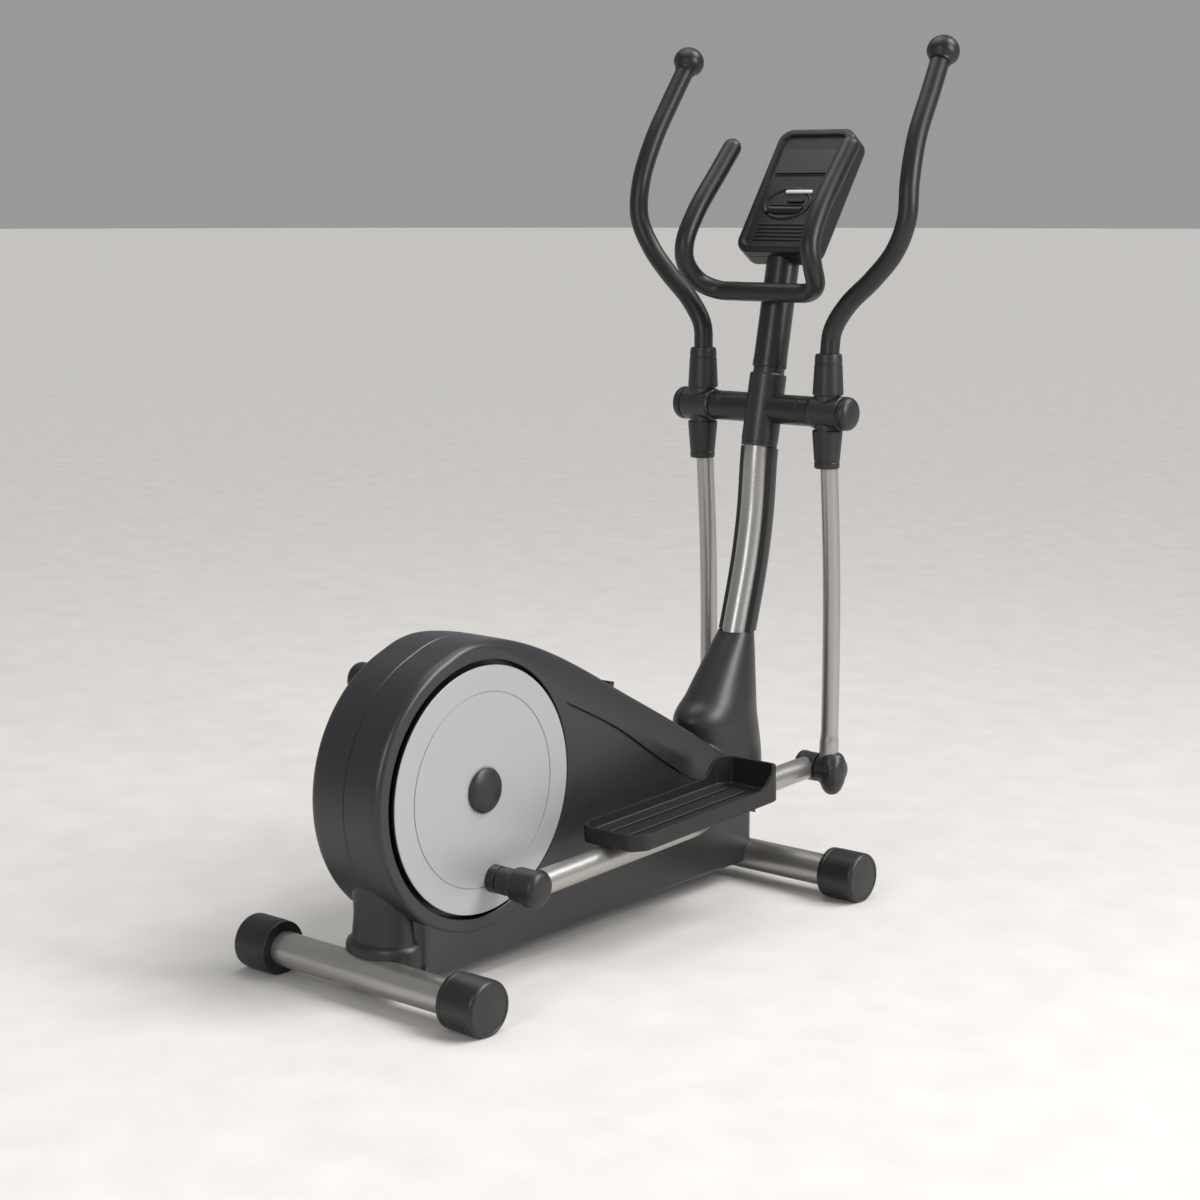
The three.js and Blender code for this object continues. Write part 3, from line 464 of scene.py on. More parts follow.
# Colour, roughness and metallic, then what differs from the usual finish.
FINISHES = {
    "frame_black": ((0.012, 0.012, 0.0125), 0.33, 0, {"grain": (700, 0.06)}),
    "tube_silver": ((0.42, 0.41, 0.385), 0.33, 0.85, {"mottle": (30, 0.05), "grain": (1600, 0.05)}),
    "body_plastic": ((0.015, 0.0155, 0.017), 0.4, 0, {"grain": (1100, 0.1), "coat": 0.2}),
    "matte_plastic": ((0.009, 0.009, 0.0095), 0.45, 0, {"grain": (900, 0.12), "coat": 0.12}),
    "tread_plastic": ((0.007, 0.007, 0.007), 0.5, 0, {"grain": (800, 0.16)}),
    "disc_silver": ((0.42, 0.42, 0.42), 0.4, 0.35, {"mottle": (5, 0.03), "grain": (1500, 0.04)}),
    "grip_foam": ((0.007, 0.007, 0.007), 0.4, 0, {"grain": (1600, 0.09)}),
    "console_plastic": ((0.005, 0.005, 0.005), 0.42, 0, {"grain": (900, 0.08)}),
    "button_plastic": ((0.7, 0.7, 0.68), 0.3, 0.6, {"mottle": (40, 0.05), "grain": (1200, 0.04)}),
    "display_lens": ((0.008, 0.0085, 0.006), 0.34, 0, {"mottle": (14, 0.12), "grain": (300, 0.02)}),
    "axle_steel": ((0.46, 0.46, 0.47), 0.32, 1, {"mottle": (60, 0.1), "grain": (900, 0.08)}),
    "cast_iron": ((0.11, 0.11, 0.115), 0.6, 0.7,
                  {"mottle": (50, 0.25), "grain": (260, 0.5), "spread": 0.12}),
    "belt_rubber": ((0.012, 0.012, 0.012), 0.7, 0, {"grain": (500, 0.3)}),
}
MATERIALS = {slot: surface(slot, *finish[:3], **finish[3]) for slot, finish in FINISHES.items()}


# ---------- body shells ----------
SKIRT_LOW = 0.034
SKIRT_FACE = 0.075
SKIRT_REAR = -0.15
NOSE = 0.785
SEAM = 0.0004
SHELL_WALL = 0.0035
DISC_GAP = 0.008
TOP_LINE = mm((785, 212), (700, 262), (600, 322), (521, 366), (391, 436), (300, 486), (222, 525),
              (145, 556), (70, 576.5), (0, 583.5), (-45, 577.5), (-92.5, 560))
MOULDED_LINE = mm((223, 441), (359, 372), (457, 309), (544, 255), (785, 128))

# How far the outline is drawn in at each distance from the middle: round the drum's rim, along
# the top of the tail, and where the ring and the tail's band stand proud of the side panel.
RIM_LEVELS = [
    (SEAM, 0.0015, 0.0015, 0.0015),
    (0.0018, 0, 0, 0),
    (0.03, 0, 0, 0),
    (0.05, 0.0000, 0.0006, 0),
    (0.06, 0.0001, 0.003, 0),
    (0.066, 0.0003, 0.008, 0),
    (0.07, 0.001, 0.015, 0),
    (0.073, 0.0022, 0.024, 0),
    (0.0752, 0.0036, 0.033, 0.0002),
    (0.0768, 0.0052, 0.042, 0.0007),
    (0.078, 0.007, 0.05, 0.0014),
    (0.0787, 0.0086, 0.056, 0.0022),
    (BODY_HALF, 0.0104, 0.061, 0.0034),
]


def smooth_step(value, low, high):
    share = min(max((value - low) / (high - low), 0), 1)
    return share * share * (3 - 2 * share)


def band_outline():
    """The proud part of the body's side, anticlockwise, as (y, z, edge shares) for each point."""
    made = []
    for p in evenly(spline([(*p, 0) for p in TOP_LINE], 12), 0.012):
        tail = smooth_step(p.x, -0.02, 0.26) * (1 - 0.45 * smooth_step(p.x, 0.7, 0.785))
        made.append((p.x, p.y, (1 - tail, tail, 0)))
    first = math.radians(113)
    last = math.radians(386.3)
    steps = 150
    for k in range(steps + 1):
        angle = first + (last - first) * k / steps
        y = DRUM_RADIUS * math.cos(angle)
        proud = smooth_step(math.degrees(angle), 255, 305)
        tail = smooth_step(y, -0.02, 0.26) * (1 - proud)
        made.append((y, AXLE.z + DRUM_RADIUS * math.sin(angle), (1 - proud - tail, tail, proud)))
    for p in evenly(spline([(*p, 0) for p in MOULDED_LINE], 8), 0.015)[1:]:
        made.append((p.x, p.y, (0, 0, 1)))
    return made


def band_solid(low, grow):
    """The drum and the tail's band. A positive grow draws it in all round, for the hollow inside."""
    points = band_outline()
    levels = []
    for height, *insets in RIM_LEVELS:
        drawn = [sum(s * d for s, d in zip(share, insets)) + grow for _, _, share in points]
        levels.append((height - grow if height > 0.01 else height, drawn))
    if low < 0:
        levels[0] = (low, levels[1][1])
    return solid(prism, [(p[0], p[1]) for p in points], levels, from_side)


def skirt_solid(low, grow):
    """The side panel and the skirt below it."""
    corners = [(SKIRT_REAR, SKIRT_LOW), (NOSE, SKIRT_LOW), (NOSE, 0.15), (0.544, 0.285), (0.24, 0.44),
               (0.1, 0.42), (SKIRT_REAR, 0.19)]
    outline = fillet(corners, 0.01, 4, closed=True)
    face = SKIRT_FACE - grow
    low_edge = 0.007
    end_edge = 0.024
    shares = []
    for p in outline:
        end = smooth_step(p.x, NOSE - 0.012, NOSE - 0.004)
        end += smooth_step(-p.x, -SKIRT_REAR - 0.012, -SKIRT_REAR - 0.004)
        bottom = 1 if p.y < SKIRT_LOW + 0.004 else 0
        shares.append((end, max(0, bottom - end)))
    turns = [math.pi / 2 * k / 8 for k in range(9)]
    levels = [(low if low < 0 else SEAM, [0.0015 + grow] * len(outline)), (0.0018, [grow] * len(outline))]
    for a in turns:
        height = face - end_edge * (1 - math.sin(a))
        drawn = []
        for end, bottom in shares:
            reach = max(0.0, height - (face - low_edge)) / low_edge
            drop = low_edge * (1 - math.sqrt(max(0, 1 - reach * reach)))
            drawn.append(grow + end * end_edge * (1 - math.cos(a)) + bottom * drop)
        levels.append((height, drawn))
    if low < 0:
        levels[0] = (low, levels[1][1])
    return solid(prism, outline, levels, from_side)


def rod(low, high, radius, origin, axis=(1, 0, 0), segments=96):
    """A plain round bar about an axis through origin."""
    return solid(lathe, [(low, 0), (low, radius), (high, radius), (high, 0)], origin, axis, segments)


def bar_x(low, high, radius, y, z, segments):
    """A round bar along X, used as a cutting tool."""
    return rod(low, high, radius, side_point(0, y, z), segments=segments)


def groove(points, width, low, high):
    """A narrow slot along a line drawn on the side of the body, used as a cutting tool."""
    line = [Vector((p.x, p.y)) for p in evenly(spline([(*p, 0) for p in points], 8), 0.01)]
    sides = []
    for i, p in enumerate(line):
        along = (line[min(i + 1, len(line) - 1)] - line[max(i - 1, 0)]).normalized()
        sides.append(Vector((-along.y, along.x)) * width / 2)
    outline = [p - s for p, s in zip(line, sides)] + [p + s for p, s in reversed(list(zip(line, sides)))]
    return solid(prism, outline, [(low, 0), (high, 0)], from_side)


def rail_room(grow):
    """The space that the frame's rail takes along the bottom of the body."""
    half = 0.0255 + grow
    return solid(block, side_point(-half, SKIRT_REAR - 0.2, 0.037), side_point(half, 0.9, 0.0705))


def body_shells():
    half = join(band_solid(0, 0), skirt_solid(0, 0))
    cut(half, band_solid(-0.01, SHELL_WALL), skirt_solid(-0.01, SHELL_WALL))
    edge = DISC_RADIUS + DISC_GAP
    opening = [(0.05, 0), (0.05, edge), (0.0775, edge), (0.08, edge + 0.0023), (0.08, 0)]
    cut(half, solid(lathe, opening, AXLE, segments=144), rail_room(0))
    web = mm((56.8, 35), (56.8, 244), (59, 244), (59, 35))
    join(half, solid(lathe, web, AXLE, segments=144, wrap=True))
    cut(half, groove(MOULDED_LINE[:4], 0.0026, 0.0725, 0.09))
    mast_room = solid(tube, mast_path(), 0.0285, sides=32)
    cut(half, mast_room)
    left = twin(half)
    finished(half, "right_shroud_shell")
    finished(mirrored(left, -1), "left_shroud_shell")


# ---------- mast ----------
MAST_PATH = mm((692, 81), (757, 280), (818, 477), (856, 611), (874, 710), (882, 800), (889, 858))
HORN = mm((150, 774, 79, 60), (185, 764, 78.5, 84), (235, 759, 75, 97.5), (300, 752.7, 67, 100.8),
          (318, 750, 64.5, 101.8), (337, 755, 61.5, 96.7), (355, 766, 58.5, 85), (385, 778.5, 52.5, 73),
          (430, 797.5, 43.5, 55.5), (477, 818, 34, 35))
HORN_TOP = 0.477


def mast_path():
    return spline([side_point(0, *p) for p in MAST_PATH], 8)


def horn_ring(z, y, half_x, half_y, count=96):
    """A slice of the mast shroud: round at the back, squarer at the front."""
    ring = []
    for i in range(count):
        angle = 2 * math.pi * i / count
        power = 0.86 if math.sin(angle) > 0 else 1.0
        across = math.copysign(abs(math.cos(angle)) ** power, math.cos(angle))
        forwards = math.copysign(abs(math.sin(angle)) ** power, math.sin(angle))
        ring.append(side_point(half_x * across, y + half_y * forwards, z))
    return ring


def horn_solid(grow, top):
    line = spline([(z, y, hx) for z, y, hx, hy in HORN], 6)
    depths = spline([(z, hy, 0) for z, y, hx, hy in HORN], 6)
    rings = [horn_ring(p.x, p.y, p.z - grow, d.y - grow) for p, d in zip(line, depths)]
    if top:
        last = Vector((0, 0.0105, 0.026))
        rings.append([p + last for p in rings[-1]])
    return solid(skin, rings)


def mast_shroud():
    horn = horn_solid(0, top=True)
    tail = band_solid(0, 0.0008)
    cut(tail, solid(block, side_point(-0.01, -0.4, 0), side_point(0.1, 0.585, 0.7)))
    other = mirrored(twin(tail), -1)
    middle_strip = solid(block, side_point(-0.002, 0.6, 0.15), side_point(0.002, 0.775, 0.2))
    join(horn, tail, other, middle_strip)
    melt(horn, 0.0026, 16)
    keep = solid(block, side_point(-0.2, 0.62, 0.15), side_point(0.2, 1.0, HORN_TOP))
    combine(horn, keep, "INTERSECT")
    for sign in (1, -1):
        for shell in (band_solid, skirt_solid):
            cut(horn, mirrored(shell(-0.001, 0), sign))
    cut(horn, horn_solid(0.0035, top=True), solid(tube, mast_path(), 0.0272, sides=48))
    finished(keep_main(horn), "mast_shroud")


def keep_main(obj):
    """Drops small loose bits that a cut leaves."""
    bm = bmesh.new()
    bm.from_mesh(obj.data)
    left = set(bm.verts)
    groups = []
    while left:
        stack = [left.pop()]
        group = set(stack)
        while stack:
            for edge in stack.pop().link_edges:
                for vertex in edge.verts:
                    if vertex in left:
                        left.remove(vertex)
                        group.add(vertex)
                        stack.append(vertex)
        groups.append(group)
    main = max(groups, key=len)
    bmesh.ops.delete(bm, geom=[v for v in bm.verts if v not in main], context="VERTS")
    bm.to_mesh(obj.data)
    bm.free()
    return obj


def channel_section():
    """Round channel open towards the user, its rims just behind the tube: (across, forwards) points."""
    outer, wall, lip, rear = 0.0385, 0.004, 0.0268, -0.006
    turns = [math.pi * k / 28 for k in range(29)]
    outside = [(outer * math.cos(a), 0.003 + (outer - 0.003) * math.sin(a)) for a in turns]
    inside = [((outer - wall) * math.cos(a), 0.003 + (outer - wall - 0.003) * math.sin(a)) for a in turns]
    return [*outside, (-outer, rear + 0.0015), (-outer + 0.0015, rear), (-lip, rear), (-lip, rear + wall),
            (wall - outer, rear + wall), *reversed(inside[1:-1]), (outer - wall, rear + wall),
            (lip, rear + wall), (lip, rear), (outer - 0.0015, rear), (outer, rear + 0.0015)]


def sweep_forwards(bm, section, path):
    """Sweeps a flat section along a path in the plane x = 0. Its second number points forwards."""
    rings = []
    for centre, direction in zip(path, tangents(path)):
        forwards = Vector((0, direction.z, -direction.y))
        rings.append([centre + Vector((x, 0, 0)) + forwards * y for x, y in section])
    skin(bm, rings)


def mast():
    finished(solid(tube, mast_path(), 0.0265, sides=96), "lower_mast_tube")

    path = spline([side_point(0, *p) for p in [(0.816, 0.47), *MAST_PATH[3:]]], 8)
    trim = solid(sweep_forwards, channel_section(), path)
    cut(trim, solid(block, side_point(-0.06, 0.7, 0.4), side_point(0.06, 0.95, HORN_TOP + 0.0004)))
    cut(trim, rod(-0.0765, 0.07, 0.06, ARM_AXLE, MAST_LINE))
    finished(trim, "mast_trim")

    collar = mm((-76, 0), (-76, 33), (-75.2, 34.5), (-73, 35.2), (-70, 35.2), (-69.5, 34.6), (-68.2, 34.6),
                (-67.6, 35.4), (-62, 36), (63, 36), (65.5, 35.5), (66.8, 34.3), (67.2, 32.5), (67.2, 30.6),
                (79, 30.4), (79, 0))
    finished(solid(lathe, collar, ARM_AXLE, MAST_LINE), "mast_collar")

    upper = mm((79.2, 0), (79.2, 31.8), (80, 32.8), (81.5, 33.2), (93, 33.2), (94.5, 32.7), (300, 32.2),
               (300, 0))
    mast_tube = solid(lathe, upper, ARM_AXLE, MAST_LINE)
    notch = solid(block, Vector((0.03, -0.012, 0.072)), Vector((0.04, 0.012, 0.0835)))
    notch.data.transform(Matrix.Translation(ARM_AXLE) @ Matrix.Rotation(-MAST_LEAN, 4, "X"))
    cut(mast_tube, notch)
    finished(mast_tube, "upper_mast_tube")


# ---------- feet ----------


def feet():
    for place, foot in (("rear", REAR_FOOT), ("front", FRONT_FOOT)):
        low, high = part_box(f"{place}_stabilizer_tube")
        half = high.x
        profile = [(-half, 0.0275), (-half, FOOT_TUBE_RADIUS), (half, FOOT_TUBE_RADIUS), (half, 0.0275)]
        tube_piece = solid(lathe, profile, foot, wrap=True)
        finished(tube_piece, f"{place}_stabilizer_tube")
        for side, sign in SIDES:
            node = f"{place}_{side}_foot_cap"
            low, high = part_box(node)
            outer = max(abs(low.x), abs(high.x))
            finished(mirrored(foot_cap(foot, outer), sign), node)


def foot_cap(foot, outer):
    """Moulded end cap: a lip round its mouth, a rim round its end and a flat to stand on."""
    inner = outer - 0.078
    mouth = mm((0, 30.3), (0, 44), (0.8, 45.8), (2.5, 46.8), (9, 47), (9.8, 46.2), (11.2, 46.2), (12, 47.1),
               (20, 47.5))
    end = mm((10, 47.5), (6, 47), (3, 45.5), (1, 43.2), (0.4, 41.5), (0.6, 40), (1.6, 38.8), (1.8, 37.5),
             (0.6, 20), (0, 0))
    profile = [(outer - 0.0115, 0), (outer - 0.0115, 0.0303), *[(inner + x, r) for x, r in mouth],
               *[(outer - x, r) for x, r in end]]
    cap = solid(lathe, profile, foot, segments=128)
    ground = solid(block, (inner - 0.01, foot.y - 0.1, -0.05), (outer + 0.01, foot.y + 0.1, 0))
    return cut(cap, ground)


def rear_bracket():
    """Two-tier moulded cover over the joint between the rail and the rear stabilizer."""
    tiers = mm((42, 72, 54), (46, 73.8, 55.8), (80, 74, 56), (86, 73.3, 55.3), (90.5, 71.2, 53.5),
               (93.5, 67.5, 50.8), (95, 64, 48.6), (96.5, 62, 47.8), (105, 60.6, 47.4), (125, 58, 46.4),
               (140, 56.2, 46), (165, 57, 47), (200, 60, 49))
    rings = []
    for z, half_x, half_y in tiers:
        turns = [2 * math.pi * i / 112 for i in range(112)]
        rings.append([side_point(half_x * math.cos(a), -0.1565 + half_y * math.sin(a), z) for a in turns])
    bracket = solid(skin, rings)
    for sign in (1, -1):
        for shell in (band_solid, skirt_solid):
            cut(bracket, mirrored(shell(-0.001, -0.0003), sign))
    cut(bracket, bar_x(-0.09, 0.09, 0.0304, -0.2, REAR_FOOT.z, 96), rail_room(0.0003))
    finished(keep_main(bracket), "rear_foot_bracket")


# ---------- arms ----------
HANDLE_PATH = mm((150, 904, 985), (151, 905, 1020), (156, 907, 1062), (188, 908, 1110), (243, 910, 1160),
                 (288, 910, 1210), (316, 906, 1270), (317, 912, 1340), (311, 942, 1420), (306, 992, 1500),
                 (300, 1038, 1570))
LOWER_ARM_PATH = mm((903, 890), (912, 790), (925, 600), (929, 430), (928, 260), (926, 222))


def cross_axle():
    bar = mm((0, 29), (92, 29), (92.5, 28.3), (94.5, 28.3), (95, 29), (115, 29), (117, 27.5), (117, 15),
             (189, 15), (189, 0))
    profile = [(-x, r) for x, r in reversed(bar)] + bar[1:]
    finished(solid(lathe, profile, ARM_AXLE), "cross_axle")
    for side, sign in SIDES:
        dome = mm((187, 0), (187, 30.5), (187.8, 31.8), (189.5, 32.5), (196, 32.4), (200, 31.3),
                  (203.5, 29), (206.2, 25.6), (208.2, 20.5), (209.4, 14), (209.9, 7), (210, 0))
        finished(mirrored(solid(lathe, dome, ARM_AXLE), sign), f"{side}_axle_cap")


def upright(profile, x, y, z=0):
    """A turned form about a vertical axis, from (height above z, radius) points."""
    return solid(lathe, profile, side_point(x, y, z), (0, 0, 1))


def swing_arm(side, sign):
    axle_y = ARM_AXLE.y - AXLE.y
    hub = mm((118, 0), (118, 29), (119.5, 30.5), (122.5, 31.8), (126, 32.5), (183, 32.5), (185, 32),
             (186, 30.8), (186, 0))
    z = ARM_AXLE.z
    neck = rod(-0.0333, 0.0333, 0.0245, side_point(ARM_X, axle_y, z), (0, 0, 1))
    hub_piece = join(solid(lathe, hub, ARM_AXLE), neck)
    hole = rod(0.11, 0.19, 0.0156, ARM_AXLE, segments=48)
    finished(mirrored(cut(hub_piece, hole), sign), f"{side}_arm_hub")

    upper = mm((33.5, 0), (33.5, 28), (34.5, 29.2), (38, 29.6), (92, 26.8), (92.6, 26), (94.5, 26),
               (95.2, 26.6), (106, 26), (110.5, 25), (112, 23.2), (112, 0))
    sleeve = cut(upright(upper, ARM_X, axle_y, z), handle_bar(0.0186))
    finished(mirrored(sleeve, sign), f"{side}_upper_sleeve")

    lower = mm((-107, 0), (-107, 22.5), (-106, 23.8), (-103.5, 24.4), (-95.5, 24.6), (-94.7, 24),
               (-92.9, 24), (-92.1, 24.7), (-38, 29.2), (-34.5, 29), (-33.5, 28), (-33.5, 0))
    arm_path = spline([side_point(ARM_X, *p) for p in LOWER_ARM_PATH], 10)
    room = solid(tube, arm_path, 0.0171, sides=48)
    finished(mirrored(cut(upright(lower, ARM_X, axle_y, z), room), sign), f"{side}_lower_sleeve")

    length = sum((b - a).length for a, b in zip(arm_path, arm_path[1:]))

    def flare(along):
        """The tube widens into a ferrule at the joint."""
        return 0.017 + 0.0018 * smooth_step(along, length - 0.048, length - 0.034)

    finished(mirrored(solid(tube, evenly(arm_path, 0.006), flare, sides=72), sign), f"{side}_arm_tube")
    finished(mirrored(handle_bar(0.0185), sign), f"{side}_arm_grip")
    finished(mirrored(knob(), sign), f"{side}_grip_knob")
    finished(mirrored(arm_joint(), sign), f"{side}_arm_joint")


def handle_bar(radius):
    path = [p for p in spline([side_point(*p) for p in HANDLE_PATH], 14) if p.z > 0.9853]
    return solid(tube, evenly(path, 0.006), radius, sides=64)


def knob():
    low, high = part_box("right_grip_knob")
    last, before = side_point(*HANDLE_PATH[-1]), side_point(*HANDLE_PATH[-2])
    profile = mm((-24, 0), (-24, 19.2), (-23.2, 20.6), (-21.5, 21.3), (-19, 21.8), (-16.5, 24),
                 (-13, 27.5), (-8.5, 30), (-3, 31), (3, 30.9), (9, 29.6), (15, 26.8), (20.5, 22.5),
                 (25, 16.8), (28, 10.5), (29.6, 5), (30, 0))
    return solid(lathe, profile, (low + high) / 2, last - before)


def arm_joint():
    """Black end fitting: a barrel across the machine that swells into a rounded elbow with a chin."""
    foot_y = ARM_FOOT.y - AXLE.y
    z = ARM_FOOT.z
    barrel = solid(lathe, mm((132.5, 0), (132.5, 27.5), (134.5, 29), (142, 28.5), (170, 28.5), (180, 24),
                             (185.5, 13), (186.2, 0)), side_point(0, foot_y, z))
    ball = upright(mm((150.5, 0), (151, 8), (154, 13), (162, 19), (175, 24.5), (190, 27.5), (205, 28),
                      (218, 26.2), (229, 21.5), (234, 15), (235.2, 0)), ARM_X + 0.009, foot_y)
    melt(join(barrel, ball), 0.0017, 7)
    arm_path = spline([side_point(ARM_X, *p) for p in LOWER_ARM_PATH], 10)
    cut(barrel, solid(tube, arm_path, 0.019, sides=48))
    pin = mm((92, 0), (92, 8.5), (93.5, 10), (140, 10), (140, 0))
    return join(barrel, solid(lathe, pin, side_point(0, foot_y, z), segments=48))


# ---------- crank ----------


def behind_disc(obj, side, sign):
    """The dark backing of a crank disc turns with the crank."""
    shaped = finished(mirrored(obj, sign), f"{side}_crank_disc", MATERIALS["matte_plastic"])
    shaped.name = f"{side}_disc_backing"


def crank():
    pin_place = AXLE - Vector((0, 0, CRANK_RADIUS))
    for side, sign in SIDES:
        turn = CRANK_ANGLE + (math.pi if sign < 0 else 0)
        place = Matrix.Translation(AXLE) @ Matrix.Rotation(turn, 4, "X")

        def put(obj, node):
            obj.data.transform(place @ Matrix.Translation(-AXLE))
            finished(mirrored(obj, sign), node)

        back = DISC_FACE - 0.0024
        rim = DISC_RADIUS
        disc = [(back, 0), (back, rim - 0.0003), (back + 0.0003, rim), (DISC_FACE - 0.0014, rim),
                (DISC_FACE - 0.0005, rim - 0.0004), (DISC_FACE, rim - 0.0013),
                (DISC_FACE, 0.1692), (DISC_FACE - 0.0003, 0.1687), (DISC_FACE - 0.0016, 0.1685),
                (DISC_FACE - 0.0016, 0.1669), (DISC_FACE - 0.0003, 0.1667), (DISC_FACE, 0.1662),
                (DISC_FACE, 0.041), (DISC_FACE - 0.0006, 0.0405), (DISC_FACE - 0.0006, 0)]
        disc_piece = solid(lathe, disc, AXLE, segments=192)
        cut(disc_piece, rod(0.06, 0.1, 0.0243, pin_place, segments=64))
        put(disc_piece, f"{side}_crank_disc")
        front = back - 0.0003
        backing = [(front - 0.0073, 0), (front - 0.0073, rim - 0.0025), (front - 0.006, rim - 0.0012),
                   (front - 0.0008, rim - 0.0012), (front, rim - 0.002), (front, 0)]
        backing_piece = solid(lathe, backing, AXLE, segments=160)
        cut(backing_piece, rod(0.06, 0.1, 0.0243, pin_place, segments=64))
        behind_disc(backing_piece, side, sign)

        cap = mm((84.7, 0), (84.7, 37.4), (85.6, 38.6), (87.4, 39), (89.2, 38.4), (91.2, 36.2),
                 (93.2, 32.6), (95.2, 27.6), (97.1, 21.4), (98.5, 14.6), (99.4, 7.5), (99.7, 0))
        put(solid(lathe, cap, AXLE), f"{side}_hub_cap")

        centre, end = Vector((AXLE.y, AXLE.z)), Vector((AXLE.y, AXLE.z - CRANK_RADIUS))
        outline = [centre + Vector((math.cos(a), math.sin(a))) * 0.026 for a in
                   [math.pi * k / 24 for k in range(25)]]
        outline += [end + Vector((math.cos(a), math.sin(a))) * 0.024 for a in
                    [math.pi + math.pi * k / 24 for k in range(25)]]
        arm = solid(prism, outline, rounded_levels(0.06, 0.0741, 0.0015), across_x)
        pin = mm((62, 0), (62, 24), (99, 24), (101, 23.2), (102, 21.5), (102, 0))
        join(arm, solid(lathe, pin, pin_place, segments=64))
        cut(arm, rod(0.05, 0.09, 0.0127, AXLE, segments=48))
        put(arm, f"{side}_crank_arm")


# ---------- pedals ----------
PEDAL_X = 0.165
EYE_X = 0.107
PEDAL_BEND = (0.43, 0.64)
PLATE = {"x0": 0.1045, "x1": 0.247, "start": 0.19, "length": 0.43, "base": 0.0228, "height": 0.03,
         "toe": 0.064}


def pedal(side, sign):
    reach = CRANK_RADIUS * sign
    pin = side_point(0, reach * math.sin(CRANK_ANGLE), AXLE.z - reach * math.cos(CRANK_ANGLE))
    to_foot = ARM_FOOT - pin
    length = math.hypot(to_foot.y, to_foot.z)
    place = Matrix.Translation(pin) @ Matrix.Rotation(math.atan2(to_foot.z, to_foot.y), 4, "X")

    def put(obj, node):
        obj.data.transform(place)
        finished(mirrored(obj, sign), node)

    put(knuckle(), f"{side}_pedal_knuckle")

    path = [Vector((PEDAL_X, 0.031, 0)), Vector((PEDAL_X, PEDAL_BEND[0], 0))]
    for k in range(1, 25):
        share = k / 24
        inwards = smooth_step(share, 0, 1)
        y = PEDAL_BEND[0] + (PEDAL_BEND[1] - PEDAL_BEND[0]) * share
        path.append(Vector((PEDAL_X + (EYE_X - PEDAL_X) * inwards, y, 0)))
    path.append(Vector((EYE_X, length, 0)))
    bar = solid(tube, evenly(path, 0.008), 0.0225, sides=72)
    knuckle_room = rod(0.09, 0.21, 0.0303, (0, 0, 0))
    eye_room = rod(0.07, 0.14, 0.0285, (0, length, 0))
    put(cut(bar, knuckle_room, eye_room), f"{side}_pedal_tube")

    eye = mm((86, 0), (86, 26.5), (86.8, 28), (88.5, 28.9), (96, 29), (97.2, 28.2), (99.5, 28), (124, 28),
             (127, 27.6), (129, 26.4), (129.5, 25), (129.5, 0))
    pin_hole = rod(0.091, 0.14, 0.0104, (0, length, 0))
    put(cut(solid(lathe, eye, (0, length, 0)), pin_hole), f"{side}_pedal_eye")
    put(footplate(), f"{side}_footplate")


def knuckle():
    """Fitting that joins the pedal's tube to the crank pin: a barrel with a neck and a chin."""
    neck = mm((103, 0), (103, 21.5), (104, 23.2), (105.5, 24), (129, 24), (133, 26.2), (137, 29.2),
              (140, 30), (184, 30), (188.5, 28.6), (192.5, 25), (195, 19), (196, 11), (196.2, 0))
    barrel = solid(lathe, neck, Vector((0, 0, 0)), segments=64)
    chin = solid(lathe, mm((0, 0), (0, 21.5), (16, 20.8), (27, 19.2), (31.5, 15), (32.5, 0)),
                 Vector((0.173, 0, 0)), (0, 0, -1))
    return melt(join(barrel, chin), 0.0016, 3)


def bevelled(obj, width):
    """Rounds every sharp edge of obj."""
    bevel = obj.modifiers.new("bevel", "BEVEL")
    bevel.width = width
    bevel.segments = 3
    bevel.limit_method = "ANGLE"
    bevel.angle_limit = math.radians(30)
    bevel.use_clamp_overlap = True
    apply_modifiers(obj)
    return obj


def octagon(width, length, cut_x, cut_y, round_radius=0.006):
    """A rectangle with its corners cut off, anticlockwise about the origin."""
    half_x, half_y = width / 2, length / 2
    corners = []
    for sx, sy, first_x in ((1, 1, False), (-1, 1, True), (-1, -1, False), (1, -1, True)):
        on_side = (sx * half_x, sy * (half_y - cut_y))
        on_end = (sx * (half_x - cut_x), sy * half_y)
        corners += [on_end, on_side] if first_x else [on_side, on_end]
    return fillet(corners, round_radius, 4, closed=True)


